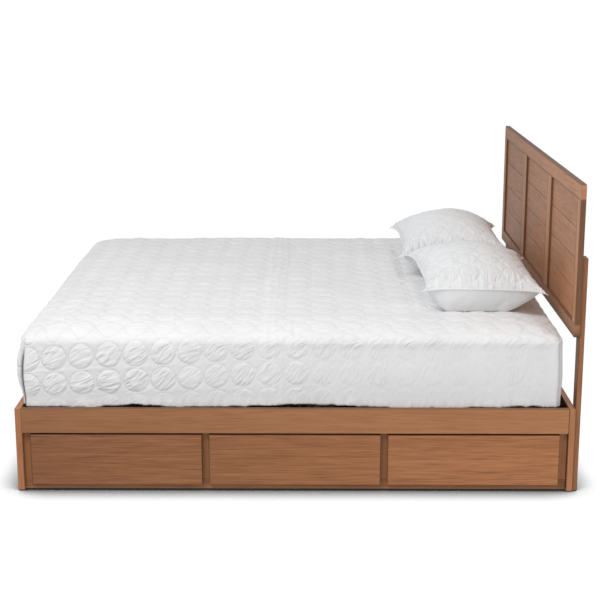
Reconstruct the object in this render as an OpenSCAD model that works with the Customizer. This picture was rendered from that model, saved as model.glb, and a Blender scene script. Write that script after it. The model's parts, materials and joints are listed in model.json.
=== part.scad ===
// Platform bed with three storage drawers along one side, a plank headboard,
// a mattress and two pillows.
//
// Frame: +Z up, +X towards the headboard, -Y out of the drawer side.
// Origin on the floor, in the middle of the bed's outline.

/* [Mattress] */
// Length of the mattress, foot to head
mattress_l = 2010; // [1850:5:2500]
// Width of the mattress
mattress_w = 1930; // [1550:5:2400]
// Thickness of the mattress
mattress_h = 330; // [180:5:380]
// Radius of the mattress's edges
mattress_r = 40; // [5:1:50]
// Room between the mattress and each side rail
mattress_side_gap = 10; // [2:1:20]
// Room between the mattress and the footboard
mattress_foot_gap = 3; // [1:1:20]
// Room between the mattress and the head-end board
mattress_head_gap = 27; // [1:1:40]

/* [Pillows] */
// Size of a pillow along the bed
pillow_l = 497; // [400:1:600]
// Size of a pillow across the bed
pillow_w = 635; // [500:5:780]
// Thickness of the near pillow
near_pillow_h = 222; // [120:2:260]
// Thickness of the far pillow
far_pillow_h = 250; // [120:2:260]
// Radius of a pillow's edges
pillow_r = 55; // [10:1:58]
// Gap between the two pillows
pillow_gap = 6; // [1:1:60]
// How far the pair of pillows lies to the far side of the bed's middle
pillow_shift = -84; // [-120:1:120]
// From the headboard's face to the near pillow
near_pillow_back = 39; // [5:1:120]
// From the headboard's face to the far pillow
far_pillow_back = 96; // [5:1:160]

/* [Frame] */
// Height of the rails' and end boards' top above the floor
frame_h = 325; // [310:1:420]
// Thickness of the footboard and the head-end board
end_board_t = 24; // [18:1:36]
// Thickness of a side rail
rail_t = 20; // [15:1:30]
// Height of a side rail
rail_h = 97; // [80:1:120]
// Thickness of the face frame behind the drawer fronts
face_t = 20; // [15:1:30]
// Height of the face frame's bottom rail
bottom_rail_h = 39; // [30:1:60]
// Thickness of the panels beside and behind the drawers
panel_t = 15; // [12:1:18]
// Radius of the eased edges on the panels and rails
edge_r = 1.5; // [0.5:0.1:3]
// Radius of the eased edges on the end boards
end_board_r = 3; // [1:0.5:6]

/* [Slats and centre beam] */
// Height of the slats' top below the rails' top
slat_drop = 37; // [25:1:50]
// Thickness of a slat
slat_t = 20; // [15:1:20]
// Width of a slat
slat_w = 100; // [60:1:110]
// Number of slats
slat_count = 12; // [9:1:13]
// Gap at each end of a slat
slat_end_gap = 5; // [2:1:10]
// Room between the end boards and the first and last slats
slat_margin = 45; // [42:1:70]
// Width of the ledges that carry the slats' ends
ledge_w = 30; // [20:1:45]
// Height of the ledges
ledge_h = 40; // [25:1:40]
// Width and height of the centre beam
beam_size = [40, 60]; // [30:1:80]
// Side of a square beam leg
leg_w = 40; // [30:1:60]
// Number of beam legs
leg_count = 4; // [2:1:6]
// From the end boards to the first and last beam legs
leg_inset = 200; // [80:5:400]

/* [Drawers] */
// Gap between two drawer fronts
front_gap = 27; // [10:1:50]
// Gap between the end boards and the outer drawer fronts
front_end_gap = 30; // [10:1:60]
// Height of the drawer fronts' bottom above the floor
front_floor_gap = 24.5; // [15:0.5:45]
// Finger gap between the side rail and the drawer fronts
finger_gap = 5.5; // [3:0.5:25]
// Thickness of a drawer front
front_t = 18; // [15:1:24]
// Gap between a drawer front and the face frame
front_clearance = 1; // [0.5:0.1:2]
// How far a drawer front covers the face frame at each side
front_overlay = 17; // [8:1:25]
// Length of a drawer box
box_l = 600; // [560:5:700]
// Height of a drawer box's sides
box_h = 140; // [90:1:150]
// From the face frame's bottom rail to the drawer box
box_lift = 16; // [6:1:26]
// Thickness of a drawer box's sides and back
box_t = 12; // [10:1:16]
// Thickness of a drawer bottom
bottom_t = 6; // [4:0.5:9]
// Height of the drawer bottom above the sides' lower edge
bottom_lift = 8; // [5:1:15]
// Depth of the groove that holds a drawer bottom
groove_d = 5; // [3:0.5:7]
// Room for the drawer bottom in its groove, each way
groove_play = 0.2; // [0.1:0.1:0.5]
// Room behind a closed drawer box
bay_rear_gap = 60; // [10:1:100]

/* [Drawer slides] */
// Length of a slide
slide_l = 550; // [450:5:550]
// Thickness of a slide, closed
slide_t = 12.7; // [12:0.1:14]
// Height of a slide's outer channel
slide_h = 45; // [38:1:52]
// Thickness of the slides' steel
steel_t = 1.2; // [1:0.1:1.5]
// Room for the ball rows between two channels
ball_gap = 3.2; // [2.5:0.1:4]
// Setback of a slide from the face frame's back
slide_setback = 2; // [1:1:8]
// Room between the outer and middle channels' webs
slide_web_gap = 1; // [0.5:0.1:1.5]
// Room between the middle channel and the inner channel's web
slide_lip_gap = 1.5; // [1:0.1:2]

/* [Headboard] */
// Height of the headboard above the floor
headboard_h = 1165; // [1050:5:1500]
// Height of the headboard panel
head_panel_h = 568; // [480:4:640]
// Thickness of the headboard panel's frame
head_panel_t = 20; // [18:1:24]
// Height of the panel's top rail
head_top_rail_h = 60; // [40:1:90]
// Height of the panel's bottom rail
head_bottom_rail_h = 53; // [40:1:90]
// Width of the panel's end stiles
head_stile_w = 65; // [50:1:90]
// Width of the panel's two mullions
mullion_w = 95; // [50:1:120]
// Planks in one column of the panel
plank_count = 4; // [3:1:6]
// Thickness of a plank
plank_t = 11; // [8:1:12]
// Setback of the planks from the panel's face
plank_recess = 8; // [3:0.5:9]
// Radius of the planks' eased edges
plank_r = 2; // [1:0.5:4]
// Gap between two planks
plank_gap = 0.4; // [0.2:0.1:1]
// Radius of the panel's outer corners
head_corner_r = 18; // [5:1:30]
// Radius of the panel's outer edges
head_edge_r = 3; // [1:0.5:6]
// Width of a headboard post
post_w = 55; // [40:1:64]
// Thickness of a headboard post
post_t = 20; // [18:1:30]
// Setback of a post from the bed's side
post_inset = 10; // [0:1:20]
// How far a post reaches up behind the panel
post_overlap = 296; // [200:1:400]
// From the boards' and posts' ends to the nearest headboard bolt
bolt_edge = 65; // [20:1:80]

/* [Fasteners and glides] */
// Height of a floor glide
glide_h = 3; // [2:0.5:6]
// Radius of a floor glide
glide_r = 7; // [4:0.5:7]
// From the bed's sides to the nearest glide on an end board
glide_inset = 40; // [20:1:100]
// Diameter of the headboard bolts' shanks
bolt_d = 8; // [6:1:10]
// Diameter of the headboard bolts' heads
bolt_head_d = 16; // [12:1:20]
// Thickness of the headboard bolts' heads
bolt_head_t = 4; // [3:0.5:6]
// Diameter of a headboard bolt's hex socket
bolt_hex_d = 6; // [4:0.5:8]
// Room around a bolt's head in its recess
bolt_head_play = 1; // [0.5:0.1:2]
// Room around a bolt's shank in its hole
bolt_play = 0.2; // [0.1:0.1:0.4]
// Depth of a headboard bolt in the boards in front of the post
bolt_bite = 13; // [8:1:14]
// Leg length of a corner bracket
bracket_leg = 38; // [30:1:40]
// Height of a corner bracket
bracket_h = 32; // [24:1:40]
// Thickness of a corner bracket
bracket_t = 3; // [2:0.5:4]
// Diameter of the bracket screws' shanks
screw_d = 6; // [4:1:6]
// Diameter of the bracket screws' heads
screw_head_d = 12; // [10:1:14]
// Thickness of the bracket screws' heads
screw_head_t = 2.5; // [2:0.5:4]
// Depth of the bracket screws in the wood
screw_bite = 12; // [8:1:13]

/* [Hidden] */
$fn = 48;

// Outline of the bed
clear_l = mattress_foot_gap + mattress_l + mattress_head_gap;
clear_w = mattress_w + 2 * mattress_side_gap;
bed_l = 2 * end_board_t + clear_l + post_t;
bed_w = clear_w + 2 * rail_t;

// Planes across the bed's length
foot_x = -bed_l / 2;
clear_x0 = foot_x + end_board_t;
clear_x1 = clear_x0 + clear_l;
post_x0 = clear_x1 + end_board_t;
head_x = bed_l / 2;
head_face_x = post_x0 - head_panel_t;
plank_x0 = head_face_x + plank_recess;

// Planes across the bed's width, on the drawer side
side_y = -bed_w / 2;
face_y0 = side_y + rail_t;
face_y1 = face_y0 + face_t;
ledge_y1 = face_y0 + ledge_w;

// Heights
rail_z0 = frame_h - rail_h;
slat_z1 = frame_h - slat_drop;
slat_z0 = slat_z1 - slat_t;
ledge_z0 = slat_z0 - ledge_h;
bottom_rail_z1 = glide_h + bottom_rail_h;
mattress_z0 = slat_z1 + 0.3;
mattress_z1 = mattress_z0 + mattress_h;
pillow_z0 = mattress_z1 + 0.3;
near_pillow_y = pillow_shift - pillow_gap / 2 - pillow_w;
far_pillow_y = pillow_shift + pillow_gap / 2;
head_panel_z0 = headboard_h - head_panel_h;
post_z1 = head_panel_z0 + post_overlap;
beam_z0 = slat_z0 - beam_size[1];

// Drawer fronts, openings and boxes
DRAWERS = [0:2];
front_w = (clear_l - 2 * front_end_gap - 2 * front_gap) / 3;
front_z0 = front_floor_gap;
front_z1 = rail_z0 - finger_gap;
front_y1 = face_y0 - front_clearance;
front_y0 = front_y1 - front_t;
opening_w = front_w - 2 * front_overlay;
box_w = opening_w - 2 * slide_t;
box_y1 = front_y1 + box_l;
box_z0 = bottom_rail_z1 + box_lift;
box_z1 = box_z0 + box_h;
bottom_z0 = box_z0 + bottom_lift;
bottom_z1 = bottom_z0 + bottom_t;
bay_y1 = box_y1 + bay_rear_gap;

// Slides
slide_y0 = face_y1 + slide_setback;
slide_z = box_z0 + box_h / 2;
mid_slide_h = slide_h - 2 * (steel_t + ball_gap);
inner_slide_h = mid_slide_h - 2 * (steel_t + ball_gap);

// Headboard columns and planks
column_w = (bed_w - 2 * head_stile_w - 2 * mullion_w) / 3;
plank_z0 = head_panel_z0 + head_bottom_rail_h;
plank_z1 = headboard_h - head_top_rail_h;

// Headboard bolts: two into the head-end board, two into the panel, on each post
post_y = side_y + post_inset + post_w / 2;
bolt_zs = [
    bolt_edge,
    frame_h - bolt_edge,
    head_panel_z0 + bolt_edge,
    post_z1 - bolt_edge
];
bolt_recess = bolt_head_t + 1;

FIXED_NODES = [
    "footboard", "head_end_board", "side_rail_near", "side_rail_far", "side_panel_far",
    "face_bottom_rail", "face_stile_foot", "face_stile_mid_foot", "face_stile_mid_head",
    "face_stile_head", "bay_panel_foot", "bay_divider_foot", "bay_divider_head",
    "bay_panel_head", "bay_back_rail", "slat_ledge_near", "slat_ledge_far", "centre_beam",
    "beam_legs", "slats", "headboard_top_rail", "headboard_bottom_rail",
    "headboard_stile_near", "headboard_stile_far", "headboard_mullion_near",
    "headboard_mullion_far", "headboard_planks_near", "headboard_planks_mid",
    "headboard_planks_far", "headboard_post_near", "headboard_post_far", "headboard_bolts",
    "corner_brackets", "bracket_screws", "floor_glides", "outer_slides", "mattress",
    "pillow_near", "pillow_far"
];
DRAWER_NODES = [
    "drawer_front", "drawer_side_foot", "drawer_side_head", "drawer_back",
    "drawer_bottom", "inner_slides", "middle_slides"
];

WALNUT = [0.62, 0.43, 0.31];
DARK_WALNUT = [0.52, 0.36, 0.25];
GREY_WALNUT = [0.58, 0.44, 0.35];
PINE = [0.80, 0.68, 0.50];
PLY = [0.78, 0.66, 0.50];
STEEL = [0.70, 0.71, 0.73];
BLACK_STEEL = [0.15, 0.15, 0.16];
FABRIC = [0.92, 0.92, 0.93];

// ---- shapes ----

// A rectangle from the origin with rounded corners
module rounded_rect(w, h, r) {
    translate([r, 0])
        square([w - 2 * r, h]);
    translate([0, r])
        square([w, h - 2 * r]);
    for (x = [r, w - r], y = [r, h - r])
        translate([x, y])
            circle(r = r);
}

// A plain box between two corners
module block(from, to) {
    translate(from)
        cube(to - from);
}

// A box between two corners with every edge rounded
module board(from, to, r) {
    size = to - from;
    translate(from)
        intersection() {
            linear_extrude(size.z)
                rounded_rect(size.x, size.y, r);
            translate([0, size.y, 0])
                rotate([90, 0, 0])
                    linear_extrude(size.y)
                        rounded_rect(size.x, size.z, r);
            rotate([90, 0, 90])
                linear_extrude(size.x)
                    rounded_rect(size.y, size.z, r);
        }
}

// The same piece on the far side of the bed
module far_side() {
    mirror([0, 1, 0])
        children();
}

// A cylinder along +X from a point
module x_rod(from, length, r) {
    translate(from)
        rotate([0, 90, 0])
            cylinder(h = length, r = r);
}

// A cylinder along +Y from a point
module y_rod(from, length, r) {
    translate(from)
        rotate([-90, 0, 0])
            cylinder(h = length, r = r);
}

// ---- end boards, rails and panels ----

module footboard() {
    color(WALNUT)
        difference() {
            board([foot_x, side_y, glide_h], [clear_x0, -side_y, frame_h], end_board_r);
            for (s = [-1, 1])
                x_rod([clear_x0 - screw_bite, s * bracket_screw_y(), bracket_z()], end_board_t,
                    screw_d / 2 + bolt_play);
        }
}

module head_end_board() {
    color(WALNUT)
        difference() {
            board([clear_x1, side_y, glide_h], [post_x0, -side_y, frame_h], end_board_r);
            for (s = [-1, 1]) {
                x_rod([clear_x1 - 1, s * bracket_screw_y(), bracket_z()], screw_bite + 1,
                    screw_d / 2 + bolt_play);
                for (z = [bolt_zs[0], bolt_zs[1]])
                    headboard_bolt_hole(s * post_y, z);
            }
        }
}

module side_rail() {
    color(WALNUT)
        difference() {
            board([clear_x0, side_y, rail_z0], [clear_x1, face_y0, frame_h], edge_r);
            for (x = [clear_x0 + bracket_screw_dx(), clear_x1 - bracket_screw_dx()])
                y_rod([x, face_y0 - screw_bite, bracket_z()], screw_bite + 1, screw_d / 2 + bolt_play);
        }
}

module side_panel_far() {
    color(DARK_WALNUT)
        far_side()
            board([clear_x0, face_y0, glide_h], [clear_x1, face_y1, ledge_z0], edge_r);
}

module face_bottom_rail() {
    color(DARK_WALNUT)
        board([clear_x0, face_y0, glide_h], [clear_x1, face_y1, bottom_rail_z1], edge_r);
}

// A stile of the face frame, between two places along the bed
module face_stile(x0, x1) {
    color(DARK_WALNUT)
        board([x0, face_y0, bottom_rail_z1], [x1, face_y1, ledge_z0], edge_r);
}

// Foot end of a drawer's opening
function opening_x0(i) = front_x0(i) + front_overlay;

// Foot end of a drawer's front
function front_x0(i) = clear_x0 + front_end_gap + i * (front_w + front_gap);

// A panel of a drawer bay, its foot side at x
module bay_panel(x) {
    color(PLY)
        block([x, face_y1, glide_h], [x + panel_t, bay_y1, ledge_z0]);
}

// The two panels between drawer bay i and the next one
module bay_divider(i) {
    bay_panel(opening_x0(i) + opening_w);
    bay_panel(opening_x0(i + 1) - panel_t);
}

module bay_back_rail() {
    color(PLY)
        block([clear_x0, bay_y1, glide_h], [clear_x1, bay_y1 + panel_t, slat_z0]);
}

// ---- slats, ledges and centre beam ----

// Ledges stop short of the end boards, where the corner brackets are
module slat_ledge() {
    ledge_stop = bracket_leg + 2;
    color(PINE)
        block([clear_x0 + ledge_stop, face_y0, ledge_z0], [clear_x1 - ledge_stop, ledge_y1, slat_z0]);
}

module centre_beam() {
    color(PINE)
        board([clear_x0, -beam_size[0] / 2, beam_z0], [clear_x1, beam_size[0] / 2, slat_z0], edge_r);
}

module beam_legs() {
    for (x = leg_xs())
        color(PINE)
            board([x - leg_w / 2, -leg_w / 2, glide_h], [x + leg_w / 2, leg_w / 2, beam_z0], edge_r);
}

// Places of the beam legs along the bed
function leg_xs() =
    let (first = clear_x0 + leg_inset, span = clear_l - 2 * leg_inset)
    [for (i = [0:leg_count - 1]) first + i * span / (leg_count - 1)];

module slats() {
    first = clear_x0 + slat_margin;
    pitch = (clear_l - 2 * slat_margin - slat_w) / (slat_count - 1);
    slat_y = clear_w / 2 - slat_end_gap;
    for (i = [0:slat_count - 1])
        color(PINE)
            board([first + i * pitch, -slat_y, slat_z0], [first + i * pitch + slat_w, slat_y, slat_z1],
                edge_r);
}

// ---- headboard ----

// The whole panel's outline, with rounded corners and edges
module head_outline() {
    size = [head_panel_t, bed_w, head_panel_h];
    translate([head_face_x, side_y, head_panel_z0])
        intersection() {
            linear_extrude(size.z)
                rounded_rect(size.x, size.y, head_edge_r);
            translate([0, size.y, 0])
                rotate([90, 0, 0])
                    linear_extrude(size.y)
                        rounded_rect(size.x, size.z, head_edge_r);
            rotate([90, 0, 90])
                linear_extrude(size.x)
                    rounded_rect(size.y, size.z, head_corner_r);
        }
}

// A piece of the panel's frame, cut to the outline
module head_piece(y0, y1, z0, z1) {
    color(GREY_WALNUT)
        intersection() {
            head_outline();
            board([head_face_x, y0, z0], [post_x0, y1, z1], edge_r / 3);
        }
}

module headboard_top_rail() {
    head_piece(side_y, -side_y, plank_z1, headboard_h);
}

module headboard_bottom_rail() {
    difference() {
        head_piece(side_y, -side_y, head_panel_z0, plank_z0);
        for (s = [-1, 1])
            headboard_bolt_hole(s * post_y, bolt_zs[2]);
    }
}

module headboard_stile() {
    difference() {
        head_piece(side_y, side_y + head_stile_w, plank_z0, plank_z1);
        headboard_bolt_hole(post_y, bolt_zs[2]);
        headboard_bolt_hole(post_y, bolt_zs[3]);
    }
}

// Near side of a column of planks
function column_y0(i) = side_y + head_stile_w + i * (column_w + mullion_w);

module headboard_mullion() {
    head_piece(column_y0(1) - mullion_w, column_y0(1), plank_z0, plank_z1);
}

module headboard_planks(column) {
    y0 = column_y0(column);
    pitch = (plank_z1 - plank_z0 + plank_gap) / plank_count;
    for (i = [0:plank_count - 1])
        color(GREY_WALNUT)
            board([plank_x0, y0, plank_z0 + i * pitch],
                [plank_x0 + plank_t, y0 + column_w, plank_z0 + (i + 1) * pitch - plank_gap], plank_r);
}

module headboard_post() {
    color(DARK_WALNUT)
        difference() {
            board([post_x0, post_y - post_w / 2, glide_h], [head_x, post_y + post_w / 2, post_z1], edge_r);
            for (z = bolt_zs) {
                headboard_bolt_hole(post_y, z);
                x_rod([head_x - bolt_recess, post_y, z], bolt_recess + 1, bolt_head_d / 2 + bolt_head_play);
            }
        }
}

// A bolt's hole, through the post and into the board in front of it
module headboard_bolt_hole(y, z) {
    x_rod([post_x0 - bolt_bite, y, z], bolt_bite + post_t + 1, bolt_d / 2 + bolt_play);
}

module headboard_bolts() {
    head_x0 = head_x - bolt_recess;
    for (s = [-1, 1], z = bolt_zs)
        color(BLACK_STEEL)
            difference() {
                union() {
                    x_rod([post_x0 - bolt_bite, s * post_y, z], head_x0 - post_x0 + bolt_bite, bolt_d / 2);
                    x_rod([head_x0, s * post_y, z], bolt_head_t, bolt_head_d / 2);
                }
                translate([head_x0 + bolt_head_t / 2, s * post_y, z])
                    rotate([0, 90, 0])
                        cylinder(h = bolt_head_t, d = bolt_hex_d, $fn = 6);
            }
}

// ---- corner brackets ----

function bracket_z() = (ledge_z0 + slat_z0) / 2;

// Distance of the bracket's end-board screw from the bed's middle
function bracket_screw_y() = -face_y0 - bracket_leg * 0.62;

// Distance of the bracket's rail screw from the bed's middle, along the bed
function bracket_screw_dx() = bracket_leg * 0.62;

// A bracket in the foot corner of the drawer side
module corner_bracket() {
    z0 = bracket_z() - bracket_h / 2;
    difference() {
        union() {
            block([clear_x0, face_y0, z0], [clear_x0 + bracket_t, face_y0 + bracket_leg, z0 + bracket_h]);
            block([clear_x0, face_y0, z0], [clear_x0 + bracket_leg, face_y0 + bracket_t, z0 + bracket_h]);
        }
        x_rod([clear_x0 - 1, -bracket_screw_y(), bracket_z()], bracket_t + 2, screw_d / 2 + bolt_play);
        y_rod([clear_x0 + bracket_screw_dx(), face_y0 - 1, bracket_z()], bracket_t + 2,
            screw_d / 2 + bolt_play);
    }
}

// The two screws of that bracket
module bracket_screw_pair() {
    x_rod([clear_x0 - screw_bite, -bracket_screw_y(), bracket_z()], screw_bite + bracket_t, screw_d / 2);
    x_rod([clear_x0 + bracket_t, -bracket_screw_y(), bracket_z()], screw_head_t, screw_head_d / 2);
    y_rod([clear_x0 + bracket_screw_dx(), face_y0 - screw_bite, bracket_z()], screw_bite + bracket_t,
        screw_d / 2);
    y_rod([clear_x0 + bracket_screw_dx(), face_y0 + bracket_t, bracket_z()], screw_head_t,
        screw_head_d / 2);
}

// Its children in all four corners of the frame
module at_corners() {
    middle = clear_x0 + clear_x1;
    for (far = [0, 1], head = [0, 1])
        mirror([0, far, 0])
            translate([head * middle, 0, 0])
                mirror([head, 0, 0])
                    children();
}

module corner_brackets() {
    color(STEEL)
        at_corners()
            corner_bracket();
}

module bracket_screws() {
    color(BLACK_STEEL)
        at_corners()
            bracket_screw_pair();
}

// ---- floor glides ----

module glide(x, y) {
    color(BLACK_STEEL)
        translate([x, y, 0])
            cylinder(h = glide_h, r = glide_r);
}

module floor_glides() {
    outer = bed_w / 2 - glide_inset;
    for (y = [-outer, -outer / 3, outer / 3, outer]) {
        glide(foot_x + end_board_t / 2, y);
        glide(clear_x1 + end_board_t / 2, y);
    }
    for (s = [-1, 1])
        glide(post_x0 + post_t / 2, s * post_y);
    rail_ys = [face_y0 + face_t / 2, -face_y0 - face_t / 2, bay_y1 + panel_t / 2];
    for (x = [clear_x0 + glide_inset, (clear_x0 + clear_x1) / 2, clear_x1 - glide_inset], y = rail_ys)
        glide(x, y);
    for (x = leg_xs())
        glide(x, 0);
}

// ---- drawers ----

// The slot that a drawer bottom sits in, cut from the pieces round it
module bottom_slot(i) {
    x0 = opening_x0(i) + slide_t + box_t;
    x1 = x0 + box_w - 2 * box_t;
    y0 = front_y1;
    y1 = box_y1 - box_t;
    block([x0 - groove_d, y0 - groove_d, bottom_z0 - groove_play],
        [x1 + groove_d, y1 + groove_d, bottom_z1 + groove_play]);
}

module drawer_front(i) {
    x0 = front_x0(i);
    color(WALNUT)
        difference() {
            board([x0, front_y0, front_z0], [x0 + front_w, front_y1, front_z1], edge_r);
            bottom_slot(i);
        }
}

// A side of drawer i, its foot face at x
module drawer_side(i, x) {
    color(PLY)
        difference() {
            board([x, front_y1, box_z0], [x + box_t, box_y1, box_z1], edge_r / 2);
            bottom_slot(i);
        }
}

module drawer_back(i) {
    x0 = opening_x0(i) + slide_t + box_t;
    color(PLY)
        difference() {
            board([x0, box_y1 - box_t, box_z0], [x0 + box_w - 2 * box_t, box_y1, box_z1], edge_r / 2);
            bottom_slot(i);
        }
}

module drawer_bottom(i) {
    x0 = opening_x0(i) + slide_t + box_t;
    x1 = x0 + box_w - 2 * box_t;
    reach = groove_d - groove_play;
    color(PLY)
        block([x0 - reach, front_y1 - reach, bottom_z0], [x1 + reach, box_y1 - box_t + reach, bottom_z1]);
}

// ---- slides ----

// A steel channel along the slide, open towards +X, from its web at x
module channel(x, depth, height) {
    translate([x, slide_y0, slide_z - height / 2])
        difference() {
            cube([depth, slide_l, height]);
            translate([steel_t, -1, steel_t])
                cube([depth, slide_l + 2, height - 2 * steel_t]);
        }
}

// Its children on both sides of drawer i: made for the foot side, mirrored for the other
module on_both_sides(i) {
    middle = opening_x0(i) + opening_w / 2;
    for (m = [0, 1])
        translate([middle, 0, 0])
            mirror([m, 0, 0])
                translate([-opening_w / 2, 0, 0])
                    children();
}

module outer_slides() {
    color(STEEL)
        for (i = DRAWERS)
            on_both_sides(i)
                channel(0, slide_t - slide_web_gap - steel_t, slide_h);
}

module middle_slides(i) {
    web_x = steel_t + slide_web_gap;
    color(STEEL)
        on_both_sides(i)
            channel(web_x, slide_t - web_x - slide_lip_gap - steel_t, mid_slide_h);
}

// The inner channel faces the other way, its web against the drawer's side
module inner_slides(i) {
    lip_x = 2 * steel_t + 2 * slide_web_gap + slide_lip_gap;
    color(STEEL)
        on_both_sides(i)
            translate([slide_t, 0, 0])
                mirror([1, 0, 0])
                    channel(0, slide_t - lip_x, inner_slide_h);
}

// ---- mattress and pillows ----

module mattress() {
    x0 = clear_x0 + mattress_foot_gap;
    color(FABRIC)
        board([x0, -mattress_w / 2, mattress_z0], [x0 + mattress_l, mattress_w / 2, mattress_z1], mattress_r);
}

// A pillow, its near side at y and its back edge that far from the headboard
module pillow(y, back, thickness) {
    x1 = head_face_x - back;
    color(FABRIC)
        board([x1 - pillow_l, y, pillow_z0], [x1, y + pillow_w, pillow_z0 + thickness], pillow_r);
}

// ---- the pieces ----

footboard();
head_end_board();
side_rail();  // side_rail_near
far_side() side_rail();  // side_rail_far
side_panel_far();
face_bottom_rail();
face_stile(clear_x0, opening_x0(0));  // face_stile_foot
face_stile(opening_x0(0) + opening_w, opening_x0(1));  // face_stile_mid_foot
face_stile(opening_x0(1) + opening_w, opening_x0(2));  // face_stile_mid_head
face_stile(opening_x0(2) + opening_w, clear_x1);  // face_stile_head
bay_panel(opening_x0(0) - panel_t);  // bay_panel_foot
bay_divider(0);  // bay_divider_foot
bay_divider(1);  // bay_divider_head
bay_panel(opening_x0(2) + opening_w);  // bay_panel_head
bay_back_rail();
slat_ledge();  // slat_ledge_near
far_side() slat_ledge();  // slat_ledge_far
centre_beam();
beam_legs();
slats();
headboard_top_rail();
headboard_bottom_rail();
headboard_stile();  // headboard_stile_near
far_side() headboard_stile();  // headboard_stile_far
headboard_mullion();  // headboard_mullion_near
far_side() headboard_mullion();  // headboard_mullion_far
headboard_planks(0);  // headboard_planks_near
headboard_planks(1);  // headboard_planks_mid
headboard_planks(2);  // headboard_planks_far
headboard_post();  // headboard_post_near
far_side() headboard_post();  // headboard_post_far
headboard_bolts();
corner_brackets();
bracket_screws();
floor_glides();
outer_slides();
mattress();
pillow(near_pillow_y, near_pillow_back, near_pillow_h);  // pillow_near
pillow(far_pillow_y, far_pillow_back, far_pillow_h);  // pillow_far

for (i = DRAWERS) {
    side_x = opening_x0(i) + slide_t;
    drawer_front(i);
    drawer_side(i, side_x);
    drawer_side(i, side_x + box_w - box_t);
    drawer_back(i);
    drawer_bottom(i);
    inner_slides(i);
    middle_slides(i);
}
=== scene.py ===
"""Looks of a platform bed with storage drawers.

The frame, drawers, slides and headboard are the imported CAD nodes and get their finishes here. The
mattress in its quilted cover and the two pillows are modelled here and stand for the plain solids.
"""

import json
import logging
import math
from dataclasses import dataclass
from enum import Enum
from typing import Any, Dict, List, Optional, Sequence, Set, Tuple, Union

import bpy
import numpy as np
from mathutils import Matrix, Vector

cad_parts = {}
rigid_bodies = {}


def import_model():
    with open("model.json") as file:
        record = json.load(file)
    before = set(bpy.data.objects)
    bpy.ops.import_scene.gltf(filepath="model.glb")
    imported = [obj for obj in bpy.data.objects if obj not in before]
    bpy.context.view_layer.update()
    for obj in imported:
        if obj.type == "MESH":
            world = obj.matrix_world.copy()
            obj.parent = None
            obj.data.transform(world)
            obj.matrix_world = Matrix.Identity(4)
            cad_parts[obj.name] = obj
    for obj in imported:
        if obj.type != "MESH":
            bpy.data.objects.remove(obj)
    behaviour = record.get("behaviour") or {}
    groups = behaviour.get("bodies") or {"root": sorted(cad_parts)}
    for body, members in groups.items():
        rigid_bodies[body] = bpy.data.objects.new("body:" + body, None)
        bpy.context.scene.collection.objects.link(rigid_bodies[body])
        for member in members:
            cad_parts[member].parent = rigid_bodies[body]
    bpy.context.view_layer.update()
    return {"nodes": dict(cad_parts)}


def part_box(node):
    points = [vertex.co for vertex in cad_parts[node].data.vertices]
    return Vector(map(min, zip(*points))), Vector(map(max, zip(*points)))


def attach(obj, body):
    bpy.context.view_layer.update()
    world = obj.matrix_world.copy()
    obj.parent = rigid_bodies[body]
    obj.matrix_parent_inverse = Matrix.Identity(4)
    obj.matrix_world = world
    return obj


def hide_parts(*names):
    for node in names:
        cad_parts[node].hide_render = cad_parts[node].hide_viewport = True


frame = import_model()
LOG = logging.getLogger("bed")

Rgb = Tuple[float, float, float]
Array = np.ndarray
FRAME_BODY = "frame"
DRAWERS = 3

# UV maps and attributes of the covers: metres of cloth, places in circles, shares and fold direction.
CLOTH_MAP = "cloth"
RING_MAP = "rings"
STATE = "state"
LEAN = "lean"


# ---------------------------------------------------------------- shader graph


class Value:
    """A socket of a shader graph, which takes part in arithmetic."""

    def __init__(self, graph: "Graph", socket: bpy.types.NodeSocket) -> None:
        """Keeps an output socket and the graph that it is in."""
        self.graph = graph
        self.socket = socket

    def _math(self, operation: str, left: "Operand", right: "Operand") -> "Value":
        """The result of a new Math node."""
        return self.graph.node("ShaderNodeMath", {"operation": operation}, {0: left, 1: right})

    def __add__(self, other: "Operand") -> "Value":
        """Sum."""
        return self._math("ADD", self, other)

    def __radd__(self, other: "Operand") -> "Value":
        """Sum, the number first."""
        return self._math("ADD", other, self)

    def __sub__(self, other: "Operand") -> "Value":
        """Difference."""
        return self._math("SUBTRACT", self, other)

    def __rsub__(self, other: "Operand") -> "Value":
        """Difference, the number first."""
        return self._math("SUBTRACT", other, self)

    def __mul__(self, other: "Operand") -> "Value":
        """Product."""
        return self._math("MULTIPLY", self, other)

    def __rmul__(self, other: "Operand") -> "Value":
        """Product, the number first."""
        return self._math("MULTIPLY", other, self)

    def __truediv__(self, other: "Operand") -> "Value":
        """Quotient."""
        return self._math("DIVIDE", self, other)

    def over(self, limit: float) -> "Value":
        """1 where the value is over the limit, else 0."""
        return self._math("GREATER_THAN", self, limit)

    def floor(self) -> "Value":
        """The whole number at or below the value."""
        return self._math("FLOOR", self, 0.0)

    def fraction(self) -> "Value":
        """What is left above the whole number."""
        return self._math("FRACT", self, 0.0)

    def size(self) -> "Value":
        """The value without its sign."""
        return self._math("ABSOLUTE", self, 0.0)

    def root(self) -> "Value":
        """The square root."""
        return self._math("SQRT", self, 0.0)

    def cosine(self) -> "Value":
        """The cosine of an angle."""
        return self._math("COSINE", self, 0.0)

    def sine(self) -> "Value":
        """The sine of an angle."""
        return self._math("SINE", self, 0.0)

    def angle(self, beside: "Value") -> "Value":
        """The angle of a point whose second coordinate this is."""
        return self._math("ARCTAN2", self, beside)

    def between(self, low: float, high: float) -> "Value":
        """The value's smooth place from low, 0, to high, 1."""
        settings = {"interpolation_type": "SMOOTHSTEP"}
        return self.graph.node("ShaderNodeMapRange", settings, {0: self, 1: low, 2: high})


Operand = Union[Value, float, Sequence[float]]


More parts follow.
